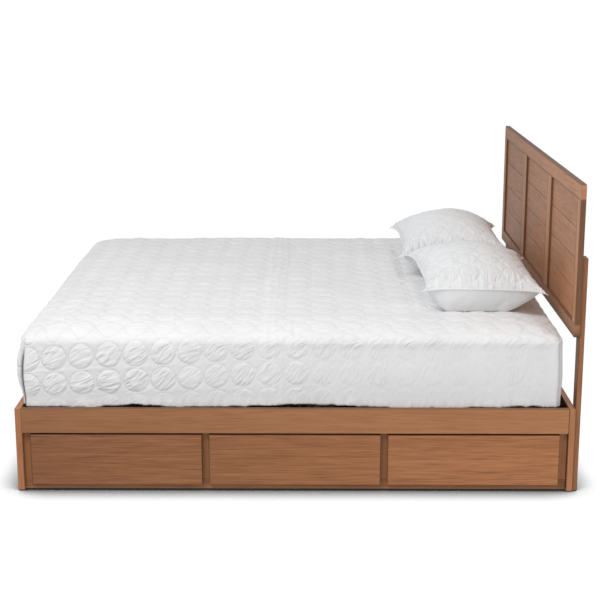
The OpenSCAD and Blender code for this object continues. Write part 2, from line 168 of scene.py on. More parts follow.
class Graph:
    """A new material and its nodes."""

    def __init__(self, name: str) -> None:
        """Makes the material with a Principled shader.

        Args:
            name: the material's name.
        """
        self.material = bpy.data.materials.new(name)
        self.material.use_nodes = True
        self.tree = self.material.node_tree
        self.shader = next(n for n in self.tree.nodes if n.type == "BSDF_PRINCIPLED")

    def node(
        self,
        kind: str,
        settings: Optional[Dict[str, Any]] = None,
        inputs: Optional[Dict[Union[int, str], Operand]] = None,
        output: Union[int, str] = 0,
    ) -> Value:
        """Adds a node.

        Args:
            kind: the node's type.
            settings: its properties, set first.
            inputs: values or links for its sockets, by name or number.
            output: the output to return.

        Returns:
            That output.
        """
        made = self.tree.nodes.new(kind)
        for key, setting in (settings or {}).items():
            setattr(made, key, setting)
        for key, value in (inputs or {}).items():
            self.set(made.inputs[key], value)
        return Value(self, made.outputs[output])

    def set(self, socket: bpy.types.NodeSocket, value: Operand) -> None:
        """Links a value to an input, or writes a constant on it."""
        if isinstance(value, Value):
            self.tree.links.new(value.socket, socket)
        else:
            socket.default_value = value

    def shade(self, **inputs: Operand) -> None:
        """Sets the Principled shader's sockets, with _ for each space in a name."""
        for key, value in inputs.items():
            self.set(self.shader.inputs[key.replace("_", " ")], value)

    def place(self, move: Sequence[float] = (0, 0, 0), scale: Sequence[float] = (1, 1, 1)) -> Value:
        """Object coordinates, moved and scaled on each axis."""
        here = self.node("ShaderNodeTexCoord", output="Object")
        return self.node("ShaderNodeMapping", {}, {"Vector": here, "Location": move, "Scale": scale})

    def noise(self, where: Value, scale: float, detail: float = 2.0, rough: float = 0.5) -> Value:
        """Noise from 0 to 1: its scale, octaves, and the weight of each against the one before."""
        inputs = {"Vector": where, "Scale": scale, "Detail": detail, "Roughness": rough}
        return self.node("ShaderNodeTexNoise", {}, inputs)

    def mix(self, share: Operand, first: Operand, second: Operand) -> Value:
        """A colour between two, by the share of the second."""
        inputs = {0: share, 6: _colour(first), 7: _colour(second)}
        return self.node("ShaderNodeMix", {"data_type": "RGBA"}, inputs, 2)

    def split(self, vector: Value) -> List[Value]:
        """The three parts of a vector."""
        made = self.node("ShaderNodeSeparateXYZ", {}, {0: vector})
        return [Value(self, out) for out in made.socket.node.outputs]

    def vector(self, first: Operand, second: Operand, third: Operand) -> Value:
        """A vector from its three parts."""
        return self.node("ShaderNodeCombineXYZ", {}, {0: first, 1: second, 2: third})

    def add(self, first: Value, second: Value) -> Value:
        """The sum of two vectors."""
        return self.node("ShaderNodeVectorMath", {"operation": "ADD"}, {0: first, 1: second})

    def uv(self, name: str) -> Value:
        """A UV map's coordinates."""
        return self.node("ShaderNodeUVMap", {"uv_map": name})

    def attribute(self, name: str, output: str) -> Value:
        """What the mesh holds under a name."""
        return self.node("ShaderNodeAttribute", {"attribute_name": name}, output=output)

    def bump(
        self, height: Value, distance: float, strength: float = 1.0, under: Optional[Value] = None
    ) -> Value:
        """A normal from a height.

        Args:
            height: the height, from 0 to 1.
            distance: what a height of 1 stands for, in metres.
            strength: how much of the bump shows.
            under: a normal that this bump adds to.

        Returns:
            The normal.
        """
        inputs: Dict[Union[int, str], Operand] = {"Height": height, "Distance": distance}
        inputs["Strength"] = strength
        if under is not None:
            inputs["Normal"] = under
        return self.node("ShaderNodeBump", {}, inputs)


def _colour(value: Operand) -> Operand:
    """A colour with its alpha, where it is a constant."""
    return value if isinstance(value, Value) else (*value, 1.0)


# ---------------------------------------------------------------- finishes


class Grain(Enum):
    """The way a board's grain runs, as an axis number."""

    LENGTH = 0
    WIDTH = 1
    UPRIGHT = 2


# Axis, place and grain of edge strips; axis, start and pitch of boards; axis, reach and depth of
# painted shade along edges; axis, place, reach and depth of a change of tone, mostly painted light and shade.
Strips = Tuple[int, float, Grain]
Boards = Tuple[int, float, float]
EdgeShade = Tuple[int, float, float]
Shade = Tuple[int, float, float, float]


@dataclass(frozen=True)
class Timber:
    """Clear-finished or raw wood with streaks, fibres and pores.

    Attributes:
        slot: the record's material slot.
        pale: colour of the palest streaks.
        dark: colour of the darkest streaks.
        pore: colour of the pores.
        contrast: how far the streaks part, from 0 to 1.
        roughness: mean roughness.
        painted_light_drift: painted light, how much lighter the wood gets with each metre towards the head
            end.
    """

    slot: str
    pale: Rgb
    dark: Rgb
    pore: Rgb
    contrast: float = 1.0
    roughness: float = 0.42
    painted_light_drift: float = 0.0

    # How much longer than wide the streaks and fibres are, inverted.
    STREAK = 1 / 34
    FIBRE = 1 / 45
    # How far the pattern moves from node to node, and from board to board within a node.
    SEED_STEP = 3.7
    AXIS_STEPS = (0.31, 0.17)
    BOARD_STEPS = (1.37, 2.11, 0.83)
    # How far the streaks bend, in metres. Then scale, octaves and roughness of the broad and the fine
    # streaks, and how much the broad, the fine and the blotches count.
    SWAY = 0.04
    WIDE = (30.0, 3.0, 0.55)
    FINE = (190.0, 4.0, 0.7)
    WEIGHTS = (0.22, 0.66, 0.12)
    # How far the tone goes from its middle to a colour's end, at full contrast.
    SPREAD = 0.16
    # Half the width of the line between two boards, and its tone against the wood's.
    JOINT = 0.003
    JOINT_TONE = 0.4

    def _streaks(
        self, graph: Graph, grain: Grain, seed: int, step: Optional[Value]
    ) -> Tuple[Value, Value, Value]:
        """The tone, fibres and pores of one grain direction.

        Args:
            graph: the material's graph.
            grain: the way the grain runs.
            seed: the board's number.
            step: a number that changes from board to board within a node, or None.

        Returns:
            Tone, fibre and pore values from 0 to 1.
        """
        move = [self.SEED_STEP * seed * (self.AXIS_STEPS[0] + self.AXIS_STEPS[1] * axis) for axis in range(3)]
        layers = []
        for squeeze in (self.STREAK, self.FIBRE):
            scale = [squeeze if axis == grain.value else 1.0 for axis in range(3)]
            where = graph.place(move, scale)
            if step is not None:
                where = graph.add(where, graph.vector(*(step * far for far in self.BOARD_STEPS)))
            layers.append(where)
        broad, narrow = layers
        sway = graph.noise(broad, 6.0, 2.0)
        bent = graph.add(broad, graph.vector(*(sway * self.SWAY for _ in range(3))))
        wide = graph.noise(bent, *self.WIDE)
        fine = graph.noise(bent, *self.FINE)
        blotch = graph.noise(graph.place(move), 2.4, 2.0)
        tone = wide * self.WEIGHTS[0] + fine * self.WEIGHTS[1] + blotch * self.WEIGHTS[2]
        fibre = graph.noise(narrow, 620.0, 2.0)
        pores = graph.noise(narrow, 330.0, 1.0).between(0.58, 0.72)
        return tone, fibre, pores

    def material(
        self,
        name: str,
        grain: Grain,
        seed: int,
        ends: Optional[Strips] = None,
        boards: Optional[Boards] = None,
        shades: Sequence[Shade] = (),
    ) -> bpy.types.Material:
        """Makes the finish for one node.

        Args:
            name: the material's name.
            grain: the way the grain runs.
            seed: the board's number, which moves the pattern.
            ends: axis, place and grain of edge strips outside that place on both sides, or None.
            boards: axis, start and pitch of the boards within the node, or None.
            shades: axis, place, reach and depth of each painted shade line, and each slow change of tone.

        Returns:
            The material.
        """
        graph = Graph(name)
        here = graph.split(graph.place())
        step = None
        # Painted light: the drift lightens the wood towards the head end. Most shades are painted shade along
        # edges, or painted light and shade across parts.
        gain: Operand = here[0] * self.painted_light_drift + 1.0
        for axis, place, reach, depth in shades:
            gain = gain * ((here[axis] - place).size().between(0.0, reach) * depth + (1 - depth))
        if boards is not None:
            axis, start, pitch = boards
            along = (here[axis] - start) / pitch
            step = along.floor()
            beside = 0.5 - (along.fraction() - 0.5).size()
            away = (beside * pitch).between(0.0, self.JOINT)
            gain = gain * (away * (1 - self.JOINT_TONE) + self.JOINT_TONE)
        tone, fibre, pores = self._streaks(graph, grain, seed, step)
        if ends is not None:
            axis, place, end_grain = ends
            other = self._streaks(graph, end_grain, seed + 1, None)
            mask = here[axis].size().over(place)
            tone, fibre, pores = (a * (1 - mask) + b * mask for a, b in zip((tone, fibre, pores), other))
        spread = self.SPREAD / self.contrast
        share = tone.between(0.5 - spread, 0.5 + spread)
        colour = graph.mix(share, self.dark, self.pale)
        colour = graph.mix(pores * 0.45, colour, self.pore)
        colour = graph.mix(fibre.between(0.35, 0.75) * 0.16, colour, self.pale)
        colour = graph.node("ShaderNodeVectorMath", {"operation": "SCALE"}, {0: colour, "Scale": gain})
        relief = fibre * 0.25 + (1 - pores) * 0.75
        graph.shade(
            Base_Color=colour,
            Roughness=fibre * 0.14 + (self.roughness - 0.07) + pores * 0.1,
            Normal=graph.bump(relief, 0.0002, 0.5),
            Specular_IOR_Level=0.35,
        )
        return graph.material


@dataclass(frozen=True)
class Steel:
    """Zinc-plated or black steel with faint drawing lines along the width.

    Attributes:
        slot: the record's material slot.
        colour: its colour.
        metallic: 1 for bare metal, 0 for a black coating.
        roughness: mean roughness.
    """

    slot: str
    colour: Rgb
    metallic: float
    roughness: float

    def material(self, name: str) -> bpy.types.Material:
        """Makes the finish.

        Args:
            name: the material's name.

        Returns:
            The material.
        """
        graph = Graph(name)
        lines = graph.noise(graph.place(scale=(1.0, 0.03, 1.0)), 900.0, 2.0)
        spangle = graph.noise(graph.place(), 60.0, 3.0)
        dim = tuple(part * 0.72 for part in self.colour)
        graph.shade(
            Base_Color=graph.mix(spangle.between(0.3, 0.7), dim, self.colour),
            Metallic=self.metallic,
            Roughness=lines * 0.16 + spangle * 0.1 + (self.roughness - 0.12),
            Normal=graph.bump(lines, 0.00004, 0.5),
        )
        return graph.material


@dataclass(frozen=True)
class Moulding:
    """Grained black plastic of the floor glides.

    Attributes:
        slot: the record's material slot.
        colour: its colour.
    """

    slot: str
    colour: Rgb

    def material(self, name: str) -> bpy.types.Material:
        """Makes the finish.

        Args:
            name: the material's name.

        Returns:
            The material.
        """
        graph = Graph(name)
        grit = graph.noise(graph.place(), 1400.0, 2.0)
        scuff = graph.noise(graph.place(), 45.0, 3.0).between(0.45, 0.7)
        worn = tuple(part * 2.2 for part in self.colour)
        graph.shade(
            Base_Color=graph.mix(scuff, self.colour, worn),
            Roughness=scuff * 0.15 + 0.5,
            Normal=graph.bump(grit, 0.0001, 0.4),
        )
        return graph.material


@dataclass(frozen=True)
class QuiltCotton:
    """White cotton: woven threads, stitch rows along the quilting circles, faint tone changes.

    The piece's cloth map holds metres of cloth, and its ring map holds places in pitches, with whole
    numbers between the circles.

    Attributes:
        slot: the record's material slot.
        colour: the cloth's colour.
        shade_colour: its colour where it is slightly greyer.
        thread_and_shade_colour: the stitch rows' colour, greyer thread and painted shade in their groove.
        tuck_shade_colour: painted shade, the cloth's colour deep in the tuck and the corner seam.
        thread: distance between threads, in metres.
    """

    slot: str
    colour: Rgb
    shade_colour: Rgb
    thread_and_shade_colour: Rgb = (0.62, 0.62, 0.63)
    tuck_shade_colour: Rgb = (0.035, 0.03, 0.028)
    thread: float = 0.0011

    # Where the stitch row starts and ends to fade, in radii from its middle, and its dashes in a circle.
    ROW = (0.014, 0.05)
    DASHES = 72
    # The range of the turns of the circles' folds, in radians, how fast they change along their run,
    # and the distances from a circle's middle, in pitches, between which they fade.
    TURN = 0.5
    RUN = 1.3
    FOLD_EDGE = (0.36, 0.47)

    def material(self, name: str, quilt: "Quilting") -> bpy.types.Material:
        """Makes the finish.

        Args:
            name: the material's name.
            quilt: the sizes of the quilting.

        Returns:
            The material.
        """
        graph = Graph(name)
        cloth = graph.uv(CLOTH_MAP)
        across, along, _ = graph.split(cloth)
        sewn, pulled, tuck_shade = graph.split(graph.attribute(STATE, "Vector"))
        weave = self._weave(graph, across, along)
        slub = graph.noise(cloth, 900.0, 2.0)
        soft = graph.noise(graph.place(), 5.0, 3.0)
        stitch, dash = self._stitches(graph, quilt)
        stitch = stitch * sewn
        folds = self._folds(graph, quilt.fineness)
        tone = graph.mix(soft.between(0.3, 0.7) * 0.5, self.colour, self.shade_colour)
        # the stitch rows: greyer thread and painted shade in the groove that the stitches pull
        tone = graph.mix(stitch * 0.22, tone, self.thread_and_shade_colour)
        # painted shade: near-black deep in the tuck, at the foot corner seams and in the gaps between the
        # ruffles
        tone = graph.mix(tuck_shade, tone, self.tuck_shade_colour)
        relief = graph.bump(weave * 0.7 + slub * 0.3, 0.00025, 0.6)
        relief = graph.bump(stitch * (dash * 0.4 - 1.0), 0.0014, 0.8, relief)
        relief = graph.bump(folds * pulled, 0.0036, 0.9, relief)
        graph.shade(
            Base_Color=tone,
            Roughness=slub * 0.08 + 0.82,
            Normal=relief,
            Sheen_Weight=0.12,
            Sheen_Roughness=0.5,
            Specular_IOR_Level=0.2,
        )
        return graph.material

    def _weave(self, graph: Graph, across: Value, along: Value) -> Value:
        """Threads that pass over and under, from 0 to 1.

        Args:
            graph: the material's graph.
            across: cloth coordinate across the threads, in metres.
            along: cloth coordinate along them.

        Returns:
            The height of the weave.
        """
        ribs = []
        for place in (across, along):
            cell = (place / self.thread).fraction() - 0.5
            ribs.append(1 - cell * cell * 4)
        over = ((across / self.thread).floor() + (along / self.thread).floor()) / 2
        side = over.fraction().over(0.25)
        return ribs[0] * side + ribs[1] * (1 - side)

    def _stitches(self, graph: Graph, quilt: "Quilting") -> Tuple[Value, Value]:
        """Rows of stitches along the quilting circles.

        Args:
            graph: the material's graph.
            quilt: the sizes of the quilting.

        Returns:
            The stitch line's mask, and its dashes, from 0 to 1.
        """
        right, up, _ = graph.split(graph.uv(RING_MAP))
        dx = (right.fraction() - 0.5) / quilt.reach
        dy = (up.fraction() - 0.5) / quilt.reach
        off = ((dx * dx + dy * dy).root() - 1.0).size()
        mask = 1 - off.between(*self.ROW)
        dash = (dy.angle(dx) * (self.DASHES / (2 * math.pi))).fraction().between(0.25, 0.55)
        return mask, dash

    def _folds(self, graph: Graph, fineness: float) -> Value:
        """Fine straight folds across each circle, in the direction that the cover is pulled.

        Args:
            graph: the material's graph.
            fineness: how many there are in a pitch.

        Returns:
            The folds, from 0 in the creases to 1 on the crests.
        """
        right, up, _ = graph.split(graph.uv(RING_MAP))
        cell = graph.vector(right.floor(), up.floor(), 0.0)
        chance = graph.node("ShaderNodeTexWhiteNoise", {"noise_dimensions": "3D"}, {"Vector": cell})
        dx, dy = right.fraction() - 0.5, up.fraction() - 0.5
        turn = (chance - 0.5) * self.TURN + graph.attribute(LEAN, "Fac")
        cosine, sine = turn.cosine(), turn.sine()
        run, side = dx * cosine + dy * sine, dy * cosine - dx * sine
        where = graph.vector(run * self.RUN + chance * 31.0, side * fineness, chance * 57.0)
        crest = graph.noise(where, 1.0, 1.5, 0.5)
        inside = 1 - (dx * dx + dy * dy).root().between(*self.FOLD_EDGE) * 0.75
        return (1 - (crest - 0.5).size().between(0.0, 0.17)) * inside


RAIL = Timber(
    "rail_walnut", (0.448, 0.202, 0.089), (0.33, 0.137, 0.057), (0.15, 0.056, 0.025), 0.75, painted_light_drift=0.18
)
END_BOARD = Timber("end_board_walnut", (0.50, 0.215, 0.096), (0.34, 0.135, 0.057), (0.16, 0.06, 0.028), 0.8)
DRAWER_FRONT = Timber(
    "drawer_front_walnut", (0.438, 0.183, 0.075), (0.25, 0.094, 0.038), (0.11, 0.04, 0.018), 0.85, painted_light_drift=0.24
)
FACE_STILE = Timber("face_stile_walnut", (0.44, 0.183, 0.07), (0.28, 0.108, 0.04), (0.13, 0.045, 0.02), 0.8)
FACE_RAIL = Timber("face_rail_walnut", (0.365, 0.151, 0.061), (0.235, 0.092, 0.036), (0.13, 0.045, 0.02), 0.8)
HEAD_RAIL = Timber(
    "headboard_rail_walnut", (0.435, 0.203, 0.101), (0.305, 0.135, 0.064), (0.15, 0.06, 0.03), 0.7, 0.45
)
HEAD_STILE = Timber(
    "headboard_stile_walnut", (0.455, 0.215, 0.107), (0.325, 0.145, 0.068), (0.15, 0.06, 0.03), 0.7, 0.45
)
HEAD_PLANK = Timber(
    "headboard_plank_walnut", (0.415, 0.194, 0.096), (0.26, 0.116, 0.056), (0.13, 0.053, 0.027), 0.9, 0.45
)
POST = Timber("post_walnut", (0.40, 0.168, 0.072), (0.27, 0.105, 0.042), (0.13, 0.05, 0.022), 0.8)
BAY_PLY = Timber("bay_panel_ply", (0.66, 0.50, 0.33), (0.50, 0.35, 0.21), (0.36, 0.23, 0.13), 0.7, 0.6)
DRAWER_PLY = Timber("drawer_ply", (0.70, 0.54, 0.36), (0.54, 0.39, 0.24), (0.40, 0.26, 0.15), 0.7, 0.55)
BOTTOM_PLY = Timber("drawer_bottom_ply", (0.72, 0.56, 0.38), (0.58, 0.42, 0.27), (0.42, 0.28, 0.17), 0.6, 0.6)
PINE = Timber("pine", (0.74, 0.53, 0.30), (0.56, 0.35, 0.16), (0.42, 0.24, 0.1), 0.8, 0.6)
SLAT_PINE = Timber("slat_pine", (0.76, 0.56, 0.33), (0.60, 0.39, 0.19), (0.44, 0.26, 0.11), 0.8, 0.6)
SLIDE_STEEL = Steel("slide_steel", (0.62, 0.63, 0.65), 1.0, 0.34)
ZINC = Steel("zinc_steel", (0.66, 0.67, 0.69), 1.0, 0.4)
BLACK_STEEL = Steel("black_steel", (0.05, 0.05, 0.055), 0.0, 0.42)
BLACK_PLASTIC = Moulding("black_plastic", (0.04, 0.04, 0.045))
COVER_COTTON = QuiltCotton("quilted_cover", (0.83, 0.828, 0.833), (0.77, 0.768, 0.773))
PILLOW_COTTON = QuiltCotton("pillow_cover", (0.825, 0.838, 0.848), (0.77, 0.782, 0.792))


# ---------------------------------------------------------------- mesh helpers


def smooth(value: Array, low: float, high: float) -> Array:
    """The smooth place of each value from low, 0, to high, 1.

    Args:
        value: the values.
        low: the value that gives 0.
        high: the value that gives 1.

    Returns:
        Places from 0 to 1.
    """
    share = np.clip((value - low) / (high - low), 0.0, 1.0)
    return share * share * (3 - 2 * share)


def read(data: Any, key: str, width: int = 1, kind: type = np.float32) -> Array:
    """One property of every element, in rows of some width."""
    values = np.zeros(len(data) * width, kind)
    data.foreach_get(key, values)
    return values.reshape(-1, width)


def write(data: Any, key: str, values: Array) -> None:
    """Writes one property of every element."""
    data.foreach_set(key, np.asarray(values, np.float32).ravel())


def grid_of(across: Array, along: Array) -> Tuple[Array, Array]:
    """The places of a grid, and their numbers in its rows and columns."""
    places = np.stack(np.meshgrid(across, along, indexing="ij"), -1).reshape(-1, 2)
    return places, np.arange(len(places)).reshape(len(across), len(along))


def grid_quads(number: Array) -> Array:
    """The faces between the vertices of a grid, given their numbers."""
    return np.stack([number[:-1, :-1], number[1:, :-1], number[1:, 1:], number[:-1, 1:]], -1).reshape(-1, 4)


class Noise:
    """Seeded smooth noise on a plane, from 0 to 1."""

    def __init__(self, seed: int, size: int = 256) -> None:
        """Fills a table of values, after which the noise repeats."""
        self.table = np.random.default_rng(seed).random((size, size))
        self.size = size

    def at(self, across: Array, along: Array) -> Array:
        """The noise at some places.

        Args:
            across: first coordinate, one unit for each value of the table.
            along: second coordinate.

        Returns:
            The noise there.
        """
        left, low = np.floor(across).astype(int), np.floor(along).astype(int)
        right_share, top_share = across - left, along - low
        right_share = right_share * right_share * (3 - 2 * right_share)
        top_share = top_share * top_share * (3 - 2 * top_share)
        rows, cols = left % self.size, low % self.size
        rows_on, cols_on = (left + 1) % self.size, (low + 1) % self.size
        lower = self.table[rows, cols] * (1 - right_share) + self.table[rows_on, cols] * right_share
        upper = self.table[rows, cols_on] * (1 - right_share) + self.table[rows_on, cols_on] * right_share
        return lower * (1 - top_share) + upper * top_share

    def ridges(self, across: Array, along: Array) -> Array:
        """Crests from 0 to 1 along the lines where the noise passes its middle."""
        return (1 - np.abs(self.at(across, along) * 2 - 1)) ** 2


@dataclass(frozen=True)
class Quilting:
    """Padded cloth sewn in rows of circles that almost touch.

    Attributes:
        pitch: distance between the circles' middles, in metres.
        reach: a circle's radius, in pitches.
        puff: height of a circle's padding.
        star: height of the padding between four circles.
        fold: height of the folds.
        pucker: height of the short puckers that leave the stitches.
        seed: seed of the folds.
        fineness: how many fine folds there are in a pitch.
    """

    pitch: float = 0.100
    reach: float = 0.465
    puff: float = 0.0036
    star: float = 0.0028
    fold: float = 0.0036
    pucker: float = 0.0012
    seed: int = 11
    fineness: float = 4.6

    def height(self, across: Array, along: Array, lean: Array, fold: Array) -> Array:
        """The padding's height.

        Args:
            across: first coordinate, in pitches.
            along: second coordinate, in pitches.
            lean: the folds' direction, in radians from the first axis.
            fold: how strong the folds are, 1 for the usual height.

        Returns:
            Heights in metres.
        """
        noise = Noise(self.seed)
        column, row = np.floor(across), np.floor(along)
        dx, dy = across - column - 0.5, along - row - 0.5
        radius = np.hypot(dx, dy) / self.reach
        inside = np.clip(1 - radius**3, 0, 1) ** 0.5
        star = np.clip((radius - 1) / (math.sqrt(0.5) / self.reach - 1), 0, 1)
        between = np.clip(1 - (1 - star) ** 3, 0, 1) ** 0.5
        chance = noise.at(column * 1.0, row * 1.0 + 40.0)
        other = noise.at(column * 1.0 + 80.0, row * 1.0)
        turn = lean + (chance - 0.5) * 1.1
        run = dx * np.cos(turn) + dy * np.sin(turn)
        side = dy * np.cos(turn) - dx * np.sin(turn)
        bend = 0.5 * (other - 0.5) * run * run
        crest = noise.ridges(run * 2.2 + column * 7.3, (side + bend) * 7.5 + row * 5.1 + column * 3.7)
        crest += 0.4 * noise.ridges(run * 3.0 + row * 4.1, side * 15.0 + column * 6.9)
        folds = (crest - 0.45) * np.clip(inside * 2.2, 0, 1) * (0.45 + 1.1 * other)
        stray = (noise.ridges(across * 2.1, along * 5.7) - 0.4) * between * 0.5
        angle = np.arctan2(dy, dx)
        rays = noise.at(angle * 5.1 + column * 9.0, row * 3.0 + radius * 0.5) - 0.5
        edge = np.exp(-(((radius - 1) / 0.22) ** 2)) * np.clip(np.abs(radius - 1) * 14, 0, 1)
        pad = self.puff * inside * (0.75 + 0.5 * chance) + self.star * between
        return pad + self.fold * (folds + stray) * fold + self.pucker * 2 * rays * edge


def vertex_normals(points: Array, quads: Array) -> Array:
    """The mean normals of a mesh of quads.

    Args:
        points: the vertices.
        quads: four vertex numbers a face, anticlockwise from outside.

    Returns:
        A unit normal for each vertex.
    """
    first = points[quads[:, 2]] - points[quads[:, 0]]
    second = points[quads[:, 3]] - points[quads[:, 1]]
    faces = np.cross(first, second)
    total = np.zeros_like(points)
    for corner in range(4):
        np.add.at(total, quads[:, corner], faces)
    return total / np.maximum(np.linalg.norm(total, axis=1, keepdims=True), 1e-12)


def make_mesh(
    name: str, points: Array, faces: List[Sequence[int]], maps: Dict[str, Array]
) -> bpy.types.Object:
    """Makes a smooth object.

    Args:
        name: the object's name.
        points: its vertices.
        faces: vertex numbers of its faces.
        maps: UV maps by name, two numbers for each corner.

    Returns:
        The object.
    """
    mesh = bpy.data.meshes.new(name)
    mesh.from_pydata(points.tolist(), [], faces)
    for key, values in maps.items():
        write(mesh.uv_layers.new(name=key).data, "uv", values)
    mesh.polygons.foreach_set("use_smooth", np.ones(len(mesh.polygons), bool))
    mesh.update()
    made = bpy.data.objects.new(name, mesh)
    bpy.context.scene.collection.objects.link(made)
    return made


def mark(obj: bpy.types.Object, state: Sequence[Array], lean: Array) -> None:
    """Writes what the cover's finish reads at each vertex.

    Args:
        obj: the cover.
        state: how far it is sewn, pulled into folds, and darkened by painted shade, each from 0 to 1.
        lean: the folds' direction in radians.
    """
    write(obj.data.attributes.new(STATE, "FLOAT_VECTOR", "POINT").data, "vector", np.column_stack(state))
    write(obj.data.attributes.new(LEAN, "FLOAT", "POINT").data, "value", lean)


def finish_cover(
    piece: bpy.types.Object, cotton: QuiltCotton, name: str, quilt: Quilting, node: str
) -> bpy.types.Object:
    """Gives a cover its finish and its place in the frame.

    Args:
        piece: the cover.
        cotton: its finish.
        name: the material's name.
        quilt: its quilting.
        node: the plain solid that it stands for.

    Returns:
        The finished piece.
    """
    piece.data.materials.append(cotton.material(name, quilt))
    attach(piece, FRAME_BODY)
    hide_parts(node)
    return piece


def only(obj: bpy.types.Object) -> None:
    """Selects one object and makes it the active one."""
    for other in bpy.context.view_layer.objects:
        other.select_set(False)
    obj.select_set(True)
    bpy.context.view_layer.objects.active = obj


# ---------------------------------------------------------------- mattress


